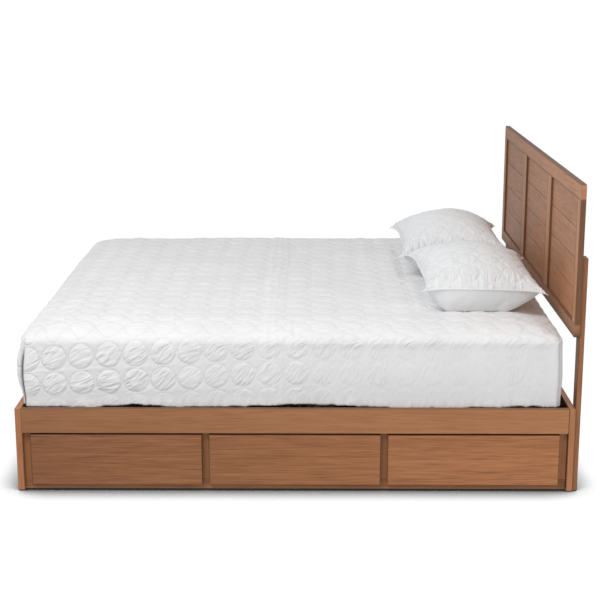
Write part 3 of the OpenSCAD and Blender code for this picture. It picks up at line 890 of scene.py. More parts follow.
@dataclass
class QuiltedMattress:
    """A thick mattress in a fitted cover that is quilted all over.

    The cover is one lattice over the top and down the four sides. Its lattice coordinates are metres
    of cloth, and the rim is where the top meets a side.

    Attributes:
        quilt: its quilting.
        node: the plain solid that it stands for.
        cell: the lattice's cell.
        radius: radius of the rim and the upright corners.
        crown: how far the top's middle stands over the plain solid.
        shoulder: how far the rim lies under the top's middle.
        shoulder_reach: width of the top's fall towards the rim.
        first_row: cloth from the rim to the middle of a side's first row of circles.
        first_column: place of the first column of circles along the bed.
        row_sag: how far a side's rows sag at the foot end.
        foot_bulge: bulge of the foot end.
        head_bulge: bulge of the head end.
        side_bulge: bulge of the long sides.
        rail_top: height of the side rails' upper edge.
        dent: how far the pillows press the top down.
        pressing: the plain solids that press it.
        seed: seed of its noise.
    """

    quilt: Quilting
    node: str = "mattress"
    cell: float = 0.0051
    radius: float = 0.024
    crown: float = 0.007
    shoulder: float = 0.036
    shoulder_reach: float = 0.19
    first_row: float = 0.031
    first_column: float = -0.902
    row_sag: float = 0.050
    foot_bulge: float = 0.021
    head_bulge: float = 0.006
    side_bulge: float = 0.004
    rail_top: float = 0.325
    dent: float = 0.009
    pressing: Tuple[str, str] = ("pillow_near", "pillow_far")
    seed: int = 5

    # Cloth past the rim where a side's look is full, and reach of the rim's pull into the top.
    SIDE_START = 0.045
    RIM_REACH = 0.09
    # Heights over the rail between which the lowest circles fade in, and those of the upper part.
    LOW_ROWS = (0.03, 0.075)
    UPPER_PART = (0.12, 0.22)
    # Where along the bed a side's circles are worn flat, as a share of its length.
    WORN_AT = 0.75
    # Place along the bed, height and width of each long crease across the top.
    CREASES = (
        (-0.118, 0.0034, 0.010),
        (-0.085, 0.0026, 0.007),
        (-0.060, 0.0022, 0.006),
        (0.30, 0.0018, 0.012),
    )
    # Place, width, depth and reach of the pinched fold at the near rim.
    PINCH = (-0.012, 0.006, 0.006, 0.04)
    NEAR_RIM = 0.93
    # Just under half the room between the rails, and how far the tuck may pass the solid's head end.
    BETWEEN_RAILS = 0.972
    HEAD_ROOM = 0.02

    def __post_init__(self) -> None:
        """Reads the plain solid's box."""
        self.low, self.high = (np.array(corner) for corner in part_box(self.node))
        self.middle = (self.low + self.high) / 2
        self.half = (self.high - self.low) / 2
        self.band = self.radius * math.pi / 4
        self.reach = self.half[:2] - self.radius + self.band
        self.noise = Noise(self.seed)

    def build(self) -> bpy.types.Object:
        """Makes the mattress.

        Returns:
            The finished piece.
        """
        spots, quads, patches, ring = self._lattice()
        points = self._body(spots)
        normals = vertex_normals(points, quads)
        body = points
        points = points + normals * self._relief(spots, points)[:, None]
        points, tuck_shade = self._tuck(spots, points, normals)
        faces = quads.tolist() + [ring[::-1].tolist()]
        maps = self._maps(spots, quads, patches, len(ring))
        piece = make_mesh("quilted_mattress", points, faces, maps)
        mark(piece, (*self._state(spots, body), tuck_shade), self._lean(spots, body))
        return finish_cover(piece, COVER_COTTON, "quilted_cover", self.quilt, self.node)

    def _lattice(self) -> Tuple[Array, Array, Array, Array]:
        """The lattice over the top and down the sides.

        Returns:
            Lattice places (x, y, drop below the rim), quads, each quad's side (0 for the top, 1 and 2
            for the ends in x, 3 and 4 for the sides in y), and the lowest ring of vertices.
        """
        counts = [int(2 * side / self.cell) for side in self.reach]
        xs = np.linspace(-self.reach[0], self.reach[0], counts[0] + 1)
        ys = np.linspace(-self.reach[1], self.reach[1], counts[1] + 1)
        grid, number = grid_of(xs, ys)
        top = np.column_stack([grid, np.zeros(len(grid))])
        rim = np.concatenate([number[:-1, 0], number[-1, :-1], number[:0:-1, -1], number[0, :0:-1]])
        sides = np.repeat([3, 2, 4, 1], counts * 2)
        depth = self.high[2] - self.shoulder + self.crown - self.radius - self.low[2] + self.band
        drops = np.linspace(0, depth, int(depth / self.cell) + 1)[1:]
        rings = [rim]
        spots = [top]
        start = len(top)
        for drop in drops:
            spots.append(np.column_stack([top[rim, :2], np.full(len(rim), drop)]))
            rings.append(np.arange(start, start + len(rim)))
            start += len(rim)
        quads = [grid_quads(number)]
        patches = [np.zeros(len(quads[0]), int)]
        for above, below in zip(rings, rings[1:]):
            quads.append(np.stack([below, np.roll(below, -1), np.roll(above, -1), above], -1))
            patches.append(sides)
        return np.concatenate(spots), np.concatenate(quads), np.concatenate(patches), rings[-1]

    def _body(self, spots: Array) -> Array:
        """The stuffed body without its quilting.

        Args:
            spots: lattice places.

        Returns:
            Points.
        """
        core = self.half[:2] - self.radius
        turn = np.zeros((len(spots), 3))
        place = np.zeros((len(spots), 3))
        for axis in range(2):
            share = np.clip((np.abs(spots[:, axis]) - core[axis]) / self.band, 0, 1)
            turn[:, axis] = np.sign(spots[:, axis]) * np.tan(share * math.pi / 4)
            place[:, axis] = np.clip(spots[:, axis], -core[axis], core[axis]) + self.middle[axis]
        turn[:, 2] = np.tan(np.clip(1 - spots[:, 2] / self.band, 0, 1) * math.pi / 4)
        edge_height = self.high[2] + self.crown - self.shoulder
        place[:, 2] = edge_height - self.radius - np.maximum(0, spots[:, 2] - self.band)
        turn /= np.linalg.norm(turn, axis=1, keepdims=True)
        points = place + turn * self.radius
        inset = np.maximum(self.half[:2] - np.abs(points[:, :2] - self.middle[:2]), 0)
        fall = (1 - np.clip(inset / self.shoulder_reach, 0, 1)) ** 2
        drop = np.clip(np.hypot(fall[:, 0], fall[:, 1]), 0, 1.25)
        points[:, 2] += (self.shoulder * (1 - drop) - self._dent(points)) * (spots[:, 2] <= 0)
        return self._swell(points, inset)

    def _dent(self, points: Array) -> Array:
        """How far the pillows press the top down at each point."""
        total = np.zeros(len(points))
        for name in self.pressing:
            low, high = (np.array(corner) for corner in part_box(name))
            inside = np.minimum(points[:, :2] - low[:2], high[:2] - points[:, :2]).min(1)
            total = np.maximum(total, self.dent * smooth(inside, -0.01, 0.04))
        return total

    def _swell(self, points: Array, inset: Array) -> Array:
        """Bulges the sides and rounds the corners in plan.

        Args:
            points: the points of the plain body.
            inset: how far inside each is from the ends and sides.

        Returns:
            The swollen points.
        """
        points = points.copy()
        height = points[:, 2]
        belly = smooth(height, self.rail_top + 0.008, 0.45) * (1 - smooth(height, 0.47, 0.60))
        near_x = np.exp(-inset[:, 0] / 0.05)
        near_y = np.exp(-inset[:, 1] / 0.05)
        foot = points[:, 0] < self.middle[0]
        along_y = smooth(inset[:, 1], 0.0, 0.05)
        end_bulge = np.where(foot, self.foot_bulge, self.head_bulge)
        side = np.sign(points[:, 0] - self.middle[0])
        points[:, 0] += side * end_bulge * belly * near_x * (0.35 + 0.65 * along_y)
        points[:, 1] += np.sign(points[:, 1]) * self.side_bulge * belly * near_y
        corner = np.exp(-(inset[:, 0] + inset[:, 1]) / 0.045) * smooth(height, 0.42, 0.60)
        points[:, 0] -= side * corner * np.where(foot, 0.010, 0.004)
        points[:, 1] -= np.sign(points[:, 1]) * corner * 0.008
        return points

    def _rings(self, across: Array, along: Array) -> Tuple[Array, Array]:
        """Quilting coordinates, in pitches.

        Args:
            across: cloth coordinate along the bed.
            along: cloth coordinate across the bed, growing to the near side and on down it.

        Returns:
            Both coordinates, whole numbers lying between circles.
        """
        foot = 1 - np.clip((across + self.half[0]) / 0.95, 0, 1)
        sag = self.row_sag * foot**1.3 * smooth(along, self.reach[1] - 0.05, self.reach[1] + 0.03)
        column = (across + self.middle[0] - self.first_column) / self.quilt.pitch + 0.5
        row = (along - sag - self.reach[1] - self.first_row) / self.quilt.pitch + 0.5
        wander = self.noise.at(across * 2.3 + 9, along * 2.3 + 4) - 0.5
        return column + wander * 0.10, row + wander * 0.08

    def _unfold(self, spots: Array, patch: Array) -> Tuple[Array, Array]:
        """Cloth coordinates of lattice places.

        Args:
            spots: lattice places.
            patch: the side that each is read on.

        Returns:
            Coordinates along and across the bed, the second growing to the near side.
        """
        along_bed = spots[:, 0] + spots[:, 2] * ((patch == 2).astype(float) - (patch == 1))
        to_near = -spots[:, 1] + spots[:, 2] * ((patch == 3).astype(float) - (patch == 4))
        return along_bed, to_near

    def _own_patch(self, spots: Array) -> Array:
        """The side that each vertex is on, 0 for the top."""
        patch = np.where(spots[:, 1] < 0, 3, 4)
        gap = self.reach - np.abs(spots[:, :2])
        patch = np.where(gap[:, 0] < gap[:, 1], np.where(spots[:, 0] < 0, 1, 2), patch)
        return np.where(spots[:, 2] > 0, patch, 0)

    def _shares(self, spots: Array, points: Array) -> Tuple[Array, Array, Array, Array]:
        """What the cover's look changes with at each vertex.

        Args:
            spots: lattice places.
            points: the body's points.

        Returns:
            Shares of the way to the head end, onto a side, past the lowest circles, and to where a
            side's circles are worn flat, each from 0 to 1.
        """
        low, high = self.low[0], self.high[0]
        share = smooth(points[:, 0], low, high)
        worn = smooth(points[:, 0], low, (1 - self.WORN_AT) * low + self.WORN_AT * high)
        low_rows = smooth(points[:, 2], *(self.rail_top + height for height in self.LOW_ROWS))
        return share, smooth(spots[:, 2], 0.0, self.SIDE_START), low_rows, worn

    def _lean(self, spots: Array, points: Array) -> Array:
        """The direction of the folds at each vertex, in radians."""
        share, on_side, _, _ = self._shares(spots, points)
        top = np.radians(8.0 - 50 * share * self._rim(points))
        return top + on_side * (-np.radians(26 + 56 * share) - top)

    def _rim(self, points: Array) -> Array:
        """1 at the long edges of the top, fading towards the middle."""
        return np.exp(-np.maximum(self.half[1] - np.abs(points[:, 1]), 0) / self.RIM_REACH)

    def _state(self, spots: Array, points: Array) -> Tuple[Array, Array]:
        """How far the cover is sewn and pulled at each vertex.

        Args:
            spots: lattice places.
            points: the body's points.

        Returns:
            Both from 0 to 1.
        """
        share, on_side, low_rows, worn = self._shares(spots, points)
        top = 0.55 - 0.40 * share
        sewn = top + on_side * ((1 - 0.97 * worn) * (0.15 + 0.85 * low_rows) - top)
        patchy = 0.45 + 1.1 * self.noise.at(points[:, 0] * 6 + 2, points[:, 2] * 6 + points[:, 1] * 6)
        end = np.exp(-np.maximum(points[:, 0] - self.low[0], 0) / 0.02)
        top = 0.10 + 0.55 * share * self._rim(points)
        strength = top + on_side * ((0.60 - 0.40 * share) * (0.3 + 0.7 * low_rows) - top)
        strength *= 1 - 0.8 * end
        return sewn, np.clip(strength * patchy, 0, 1)

    def _relief(self, spots: Array, points: Array) -> Array:
        """The quilting, folds, creases and seams over the body.

        Args:
            spots: lattice places.
            points: the body's points.

        Returns:
            Heights in metres.
        """
        patch = self._own_patch(spots)
        along_bed, to_near = self._unfold(spots, patch)
        column, row = self._rings(along_bed, to_near)
        share, on_side, low_rows, worn = self._shares(spots, points)
        strength = 0.5 + on_side * (0.35 - 0.35 * share)
        height = self.quilt.height(column, row, self._lean(spots, points), strength)
        height *= 1.35 + on_side * ((0.25 + 0.75 * low_rows) * (1.15 - 0.98 * worn) - 1.35)
        swell = self.noise.at(points[:, 0] * 3.1 + 7, points[:, 1] * 3.1 + 3) - 0.5
        height += 0.006 * swell * (1 - on_side)
        height += self._creases(points, on_side)
        hang = self.noise.ridges(along_bed * 19 + 3, points[:, 2] * 2.0) - 0.35
        upper = smooth(points[:, 2], *(self.rail_top + height for height in self.UPPER_PART))
        height += on_side * 0.0018 * hang * (0.3 + share * (0.6 + 0.9 * upper))
        return self._seams(spots, height)

    def _creases(self, points: Array, on_side: Array) -> Array:
        """Long creases across the top and down over the near edge."""
        total = np.zeros(len(points))
        for place, size, width in self.CREASES:
            wander = self.noise.at(points[:, 1] * 2.2 + place * 90, np.full(len(points), place * 31)) - 0.5
            gap = (points[:, 0] - place - 0.018 * wander) / width
            fade = 0.35 + 0.65 * self.noise.at(points[:, 1] * 4.0 + place * 50, np.full(len(points), 3.3))
            total += size * np.exp(-gap * gap) * fade
        place, width, depth, reach = self.PINCH
        inside = points[:, 1] + self.NEAR_RIM
        pinch = (points[:, 0] - place + 0.05 * inside) / width
        total -= depth * np.exp(-pinch * pinch) * np.exp(-((inside / reach) ** 2)) * (1 - on_side)
        return total

    def _seams(self, spots: Array, height: Array) -> Array:
        """Sinks the upright corner seams and raises a thin roll along the rim.

        Args:
            spots: lattice places.
            height: heights so far.

        Returns:
            Heights with the seams.
        """
        gap = self.reach - np.abs(spots[:, :2])
        beside = np.where(spots[:, 2] > 0, gap.max(1), 1.0)
        calm = smooth(beside, 0.0, 0.03)
        groove = 0.006 * np.exp(-((beside / 0.007) ** 2)) * smooth(spots[:, 2], 0.0, 0.04)
        return height * (0.15 + 0.85 * calm) - groove

    def _tuck(self, spots: Array, points: Array, normals: Array) -> Tuple[Array, Array]:
        """Gathers the lowest part of the cover and keeps it inside the rails.

        Args:
            spots: lattice places.
            points: points with their relief.
            normals: the body's normals.

        Returns:
            The finished points, and how far each is hidden in the tuck or the corner seam.
        """
        patch = self._own_patch(spots)
        run = np.where(np.isin(patch, (3, 4)), spots[:, 0], spots[:, 1])
        wave = self.noise.at(run * 9 + 31, patch * 9.0) ** 2
        wave += 0.35 * self.noise.at(run * 40 + 31, patch * 9.0)
        edge = self.rail_top - 0.020 + 0.017 * wave
        gather = (1 - smooth(points[:, 2], edge, edge + 0.010)) * (patch > 0)
        pull = 0.040 + 0.014 * self.noise.at(run * 11 + 31, patch * 9.0)
        beside = (self.reach - np.abs(spots[:, :2])).max(1)
        seam = np.exp(-((beside / 0.006) ** 2)) * smooth(spots[:, 2], 0.02, 0.08) * (spots[:, 0] < 0)
        fringe = (1 - smooth(points[:, 2], edge + 0.008, edge + 0.05)) * (patch > 0)
        ruffle = self.noise.ridges(run * 58 + 0.4 * np.sin(run * 40), points[:, 2] * 9 + patch * 5.0)
        ruffle += 0.6 * self.noise.ridges(run * 95 + 8, points[:, 2] * 14 + patch * 7.0)
        # painted shade in the tuck, along the foot corner seams and in the gaps between the ruffles
        tuck_shade = np.clip(gather * 1.2 + seam + 0.5 * (ruffle - 0.9) * fringe**3, 0, 1)
        shift = gather * pull - fringe * 0.0042 * (ruffle - 0.5)
        points = points - normals * np.array([1, 1, 0.2]) * shift[:, None]
        low_part = points[:, 2] < self.rail_top + 0.008
        ends = (self.low[0] - 0.001, self.high[0] + self.HEAD_ROOM)
        for axis, (low, high) in enumerate((ends, (-self.BETWEEN_RAILS, self.BETWEEN_RAILS))):
            points[:, axis] = np.where(low_part, np.clip(points[:, axis], low, high), points[:, axis])
        under = np.clip((self.low[2] + 0.014 - points[:, 2]) / 0.014, 0, 1)
        inward = points[:, :2] - self.middle[:2]
        outer = np.abs(inward) > self.half[:2] - 0.05
        points[:, :2] -= np.sign(inward) * (under**2 * 0.010)[:, None] * outer
        points[:, 2] = np.maximum(points[:, 2], self.low[2])
        return points, tuck_shade * (patch > 0)

    def _maps(self, spots: Array, quads: Array, patches: Array, ring: int) -> Dict[str, Array]:
        """The cloth and ring maps.

        Args:
            spots: lattice places.
            quads: the lattice's faces.
            patches: each face's side.
            ring: corners of the closing face below.

        Returns:
            UV values for every corner.
        """
        corners = quads.ravel()
        along_bed, to_near = self._unfold(spots[corners], np.repeat(patches, 4))
        column, row = self._rings(along_bed, to_near)
        blank = np.zeros((ring, 2))
        return {
            CLOTH_MAP: np.concatenate([np.column_stack([along_bed, to_near]), blank]),
            RING_MAP: np.concatenate([np.column_stack([column, row]), blank + 0.5]),
        }


# ---------------------------------------------------------------- pillows


@dataclass
class Pillow:
    """A filled cover: a quilted sheet above and a plain one below, sewn together all round.

    Attributes:
        name: the piece's name.
        node: the plain solid that it stands for.
        quilt: its quilting.
        seam_height: the seam's height over the mattress.
        tilt: how much lower the seam is at the headboard.
        phase: shift of the quilting, in pitches.
        seed: seed of its small differences.
        cell: the sheets' mean cell.
        plump: pressure of the filling.
        frames: frames of the simulation.
        cap: the most that the simulation moves a point.
        waist: how far the foot end, head end and sides pull in, as shares of the half size.
        crown: how steeply the upper sheet rises from the foot end, head end and sides, less for more.
        spare: height left for the filling and the quilting.
        ear: how far the corners reach past the box, along and across.
        slew: how far it turns towards the foot end round its near corner there.
        lip: width of the flat edge at the seam.
        end_reach: length over which the lower sheet comes down from the foot end and the head end.
        side_reach: the same from the near and the far side.
        droop: how far the corners hang.
        far_lift: how much higher the seam is on the far side.
        sink: how far it is raised over the solid's underside, below 0 for lower.
    """

    name: str
    node: str
    quilt: Quilting
    seam_height: float
    tilt: float
    phase: Tuple[float, float]
    seed: int
    cell: float = 0.0066
    plump: float = 4.0
    frames: int = 12
    cap: float = 0.008
    waist: Tuple[float, float, float] = (0.115, 0.105, 0.035)
    crown: Tuple[float, float, float] = (0.72, 0.95, 0.68)
    spare: float = 0.020
    ear: Tuple[float, float] = (0.006, 0.006)
    slew: float = 0.0
    lip: float = 0.005
    end_reach: Tuple[float, float] = (0.115, 0.17)
    side_reach: Tuple[float, float] = (0.046, 0.10)
    droop: float = 0.012
    far_lift: float = 0.014
    sink: float = -0.001

    # Spread of the sheets' vertices, denser at the seam.
    EDGE_ANGLE = 1.32
    # Shares by which the quilting's cloth is longer than the pillow.
    SLACK = (1.15, 1.12)
    ABOVE = "above"

    def __post_init__(self) -> None:
        """Reads the plain solid's box."""
        self.low, self.high = (np.array(corner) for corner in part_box(self.node))
        self.size = self.high - self.low
        self.noise = Noise(self.seed)

    def sew(self) -> bpy.types.Object:
        """Lays the two sheets on each other, joined at their edges and already somewhat filled.

        Returns:
            The pillow in its place, a little smaller than it will be.
        """
        counts = [int(side / self.cell) for side in self.size[:2]]
        turn = self.EDGE_ANGLE
        xs, ys = (np.sin(np.linspace(-1, 1, count + 1) * turn) / math.sin(turn) for count in counts)
        grid, number = grid_of(xs, ys)
        rim = np.zeros(number.shape, bool)
        rim[[0, -1]] = True
        rim[:, [0, -1]] = True
        below = number.copy()
        below[~rim] = len(grid) + np.arange((~rim).sum())
        inner = grid[~rim.ravel()]
        points = np.concatenate([self._shape(grid, True), self._shape(inner, False)])
        cloth = np.concatenate([grid, inner]) / 2
        faces = np.concatenate([grid_quads(number), grid_quads(below)[:, ::-1]])
        maps = {CLOTH_MAP: cloth[faces.ravel()] * self.size[:2]}
        piece = make_mesh(self.name, points, faces.tolist(), maps)
        layer = piece.data.attributes.new(self.ABOVE, "FLOAT", "POINT")
        write(layer.data, "value", np.arange(len(points)) < len(grid))
        self.start = points
        self._crease(piece, set(number[rim].tolist()))
        return piece

    def _crease(self, piece: bpy.types.Object, rim: Set[int]) -> None:
        """Keeps the seam between the sheets sharp.

        Args:
            piece: the sewn pillow.
            rim: the seam's vertices.
        """
        sharp = [edge.vertices[0] in rim and edge.vertices[1] in rim for edge in piece.data.edges]
        for name, kind in (("sharp_edge", "BOOLEAN"), ("crease_edge", "FLOAT")):
            layer = piece.data.attributes.get(name) or piece.data.attributes.new(name, kind, "EDGE")
            layer.data.foreach_set("value", sharp)

    def _shape(self, grid: Array, above: bool) -> Array:
        """The filled form: crowned, with sides that pull in between pointed corners.

        Args:
            grid: places on the sheet, from -1 to 1.
            above: True for the upper sheet.

        Returns:
            Points round the middle of the pillow, the mattress at height 0.
        """
        along, across = grid[:, 0], grid[:, 1]
        half = self.size[:2] / 2
        inner = np.clip(np.abs(grid) * half / (half - self.lip), 0, 1)
        waist = np.where(along < 0, self.waist[0], self.waist[1])
        x = along * half[0] * (1 - waist * (1 - np.abs(across) ** 5) * np.abs(along) ** 2.5)
        y = across * half[1] * (1 - self.waist[2] * (1 - np.abs(along) ** 5) * np.abs(across) ** 2.5)
        corner = (np.abs(along) * np.abs(across)) ** 6
        x += np.sign(along) * self.ear[0] * corner - self.slew * (1 - (1 - along) * (1 - across) / 4)
        y += np.sign(across) * self.ear[1] * corner
        seam = self.seam_height - self.tilt * along / 2 + self.far_lift * (across + 1) / 2
        seam = seam - self.droop * corner
        flat = 0.0012 * np.clip((1 - np.abs(grid).max(1)) * 90, 0, 1)
        if above:
            ends = np.where(along < 0, self.crown[0], self.crown[1])
            full_x, full_y = (1 - inner[:, 0] ** 2) ** ends, (1 - inner[:, 1] ** 2) ** self.crown[2]
            room = full_x * full_y / np.maximum(full_x + full_y - full_x * full_y, 1e-6)
            z = seam + flat + (self.size[2] - self.seam_height - self.spare) * room
        else:
            ends = np.where(along < 0, *self.end_reach)
            sides = np.where(across < 0, *self.side_reach)
            rise_x = 1 - np.clip((1 - inner[:, 0]) * half[0] / ends, 0, 1)
            rise_y = 1 - np.clip((1 - inner[:, 1]) * half[1] / sides, 0, 1)
            z = (seam - flat) * np.clip(np.hypot(rise_x, rise_y), 0, 1) ** 1.6
        return np.column_stack([x, y, z])

    def fill(self, piece: bpy.types.Object) -> None:
        """Adds the cloth simulation that plumps the pillow.

        Args:
            piece: the sewn pillow.
        """
        only(piece)
        bpy.ops.object.modifier_add(type="CLOTH")
        cloth = piece.modifiers[-1]
        cloth.settings.quality = 6
        cloth.settings.mass = 0.15
        cloth.settings.tension_stiffness = 25
        cloth.settings.compression_stiffness = 20
        cloth.settings.shear_stiffness = 10
        cloth.settings.bending_stiffness = 0.5
        cloth.settings.use_pressure = True
        cloth.settings.uniform_pressure_force = self.plump
        cloth.settings.effector_weights.gravity = 0
        cloth.collision_settings.use_collision = False
        cloth.point_cache.frame_end = self.frames

    def finish(self, piece: bpy.types.Object) -> bpy.types.Object:
        """Applies the filling, lays the pillow down and quilts its upper sheet.

        Args:
            piece: the filled pillow.

        Returns:
            The finished piece.
        """
        only(piece)
        for modifier in list(piece.modifiers):
            bpy.ops.object.modifier_apply(modifier=modifier.name)
        self._hold(piece)
        bpy.ops.object.modifier_add(type="SUBSURF")
        piece.modifiers[-1].levels = 1
        piece.modifiers[-1].render_levels = 1
        bpy.ops.object.modifier_apply(modifier=piece.modifiers[-1].name)
        points, cloth, above = self._read(piece)
        points = self._quilt(points, cloth, above)
        mark(piece, *self._state(cloth, above))
        write(piece.data.vertices, "co", points)
        piece.data.update()
        places = np.column_stack(self._rings(cloth))[self._corners(piece.data)]
        write(piece.data.uv_layers.new(name=RING_MAP).data, "uv", places)
        piece.data.attributes.remove(piece.data.attributes[self.ABOVE])
        return finish_cover(piece, PILLOW_COTTON, self.name + "_cover", self.quilt, self.node)

    def _hold(self, piece: bpy.types.Object) -> None:
        """Limits how far each point moved while the pillow was plumped."""
        moved = read(piece.data.vertices, "co", 3) - self.start
        length = np.linalg.norm(moved, axis=1, keepdims=True)
        held = self.start + moved * self.cap / (self.cap + length)
        held[:, 2] = np.maximum(held[:, 2], 0.0)
        write(piece.data.vertices, "co", held)
        piece.data.update()

    def _corners(self, mesh: bpy.types.Mesh) -> Array:
        """The vertex at each face corner."""
        return read(mesh.loops, "vertex_index", 1, np.int32).ravel()

    def _read(self, piece: bpy.types.Object) -> Tuple[Array, Array, Array]:
        """Points, cloth coordinates from -0.5 to 0.5, and 1 above and 0 below, for each vertex."""
        mesh = piece.data
        cloth = np.zeros((len(mesh.vertices), 2))
        cloth[self._corners(mesh)] = read(mesh.uv_layers[CLOTH_MAP].data, "uv", 2) / self.size[:2]
        above = read(mesh.attributes[self.ABOVE].data, "value").ravel()
        return read(mesh.vertices, "co", 3).astype(float), cloth, above.astype(float)

    def _seam(self, cloth: Array) -> Tuple[Array, Array]:
        """The distance to the nearest part of the seam, and whether that part runs along the pillow."""
        rim = np.clip(1 - 2 * np.abs(cloth), 0, 1) * self.size[:2] / 2
        return rim.min(1), rim[:, 1] < rim[:, 0]

    def _quilt(self, points: Array, cloth: Array, above: Array) -> Array:
        """Puts the pillow in its place and adds its quilting, gathers and frill.

        Args:
            points: the plumped pillow's points.
            cloth: cloth coordinates from -0.5 to 0.5.
            above: 1 on the upper sheet.

        Returns:
            Points in the row frame.
        """
        beside, long_seam = self._seam(cloth)
        column, row = self._rings(cloth)
        near_seam = np.exp(-beside / 0.05)
        upper = smooth(above, 0.4, 1.0)
        lean = np.where(long_seam, math.pi / 2, 0.0)
        height = self.quilt.height(column, row, lean, 0.4 + 0.2 * near_seam)
        height = height * smooth(beside, 0.0, 0.03) * upper
        round_corner = np.hypot(cloth[:, 0] * 1.1 - 0.1, cloth[:, 1] + 0.35)
        angle = np.arctan2(cloth[:, 1] + 0.35, cloth[:, 0] - 0.1)
        arcs = self.noise.ridges(round_corner * 17, angle * 1.6) - 0.4
        height += 0.0030 * arcs * smooth(round_corner, 0.2, 0.45) * smooth(beside, 0.0, 0.05) * upper
        run = np.where(long_seam, cloth[:, 0] * self.size[0], cloth[:, 1] * self.size[1])
        gather = self.noise.ridges(run * 60, beside * 7 + 3.0 * long_seam) - 0.4
        gather += 0.6 * (self.noise.ridges(run * 120 + 9, beside * 11) - 0.4)
        height += 0.0036 * gather * near_seam * smooth(beside, 0.0, 0.012) * upper
        height += 0.0012 * (self.noise.at(points[:, 0] * 14, points[:, 1] * 14) - 0.5) * (1 - upper)
        points = points + self._normals(points) * height[:, None]
        points[:, 2] = np.maximum(points[:, 2], 0.0)
        frill = np.exp(-beside / 0.010) * (cloth[:, 0] > 0) * (~long_seam)
        points[:, 2] += frill * 0.012 * (self.noise.at(cloth[:, 1] * 34, np.full(len(cloth), 2.0)) - 0.5)
        points[:, :2] += ((self.low + self.high) / 2)[:2]
        points[:, 2] += self.low[2] + self.sink
        return points

    def _state(self, cloth: Array, above: Array) -> Tuple[Tuple[Array, Array, Array], Array]:
        """What the finish reads: sewn and pulled shares, no painted tuck shade, and the folds' direction."""
        beside, long_seam = self._seam(cloth)
        upper = smooth(above, 0.4, 1.0)
        spots = smooth(self.noise.at(cloth[:, 0] * 5, cloth[:, 1] * 5 + 9), 0.3, 0.8)
        sewn = upper * smooth(beside, 0.0, 0.03) * (0.05 + 0.6 * spots)
        pulled = upper * (0.10 + 0.75 * np.exp(-beside / 0.055)) * smooth(beside, 0.0, 0.01)
        return (sewn, pulled, np.zeros(len(cloth))), np.where(long_seam, math.pi / 2, 0.0)

    def _rings(self, cloth: Array) -> Tuple[Array, Array]:
        """Quilting coordinates of cloth coordinates, in pitches."""
        spread = self.size[:2] * np.array(self.SLACK) / self.quilt.pitch
        return cloth[:, 0] * spread[0] + self.phase[0], cloth[:, 1] * spread[1] + self.phase[1]

    def _normals(self, points: Array) -> Array:
        """Normals of the current mesh at new places of its vertices."""
        return vertex_normals(points, self._corners(bpy.data.meshes[self.name]).reshape(-1, 4))


@dataclass
class PillowPair:
    """The two pillows, which are filled in one simulation."""

    pillows: List[Pillow]

    def build(self) -> List[bpy.types.Object]:
        """Sews, fills and finishes both.

        Returns:
            The finished pieces.
        """
        pieces = [pillow.sew() for pillow in self.pillows]
        scene = bpy.context.scene
        for pillow, piece in zip(self.pillows, pieces):
            pillow.fill(piece)
        for frame_number in range(1, self.pillows[0].frames + 1):
            scene.frame_set(frame_number)
        pieces = [pillow.finish(piece) for pillow, piece in zip(self.pillows, pieces)]
        scene.frame_set(1)
        return pieces


# ---------------------------------------------------------------- frame, drawers and fittings


@dataclass(frozen=True)
class Board:
    """One timber node's finish.

    Attributes:
        timber: its wood.
        grain: the way its grain runs.
        ends: axis, place and grain of its edge strips, or None.
        boards: axis, start and pitch of the boards within it, or None.
        shaded_rims: axis, reach and depth of the painted shade along its edges.
        fades: axis, place, reach and depth of slow changes, mostly painted light and shade, lighter
        where the depth is below 0.
    """

    timber: Timber
    grain: Grain
    ends: Optional[Strips] = None
    boards: Optional[Boards] = None
    shaded_rims: Tuple[EdgeShade, ...] = ()
    fades: Tuple[Shade, ...] = ()

    def shades(self, name: str) -> List[Shade]:
        """The painted shade along both edges on each of its shaded rims' axes.

        Args:
            name: the board's node.

        Returns:
            Axis, place, reach and depth of each.
        """
        found = list(self.fades)
        for axis, reach, depth in self.shaded_rims:
            found += [(axis, corner[axis], reach, depth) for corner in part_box(name)]
        return found


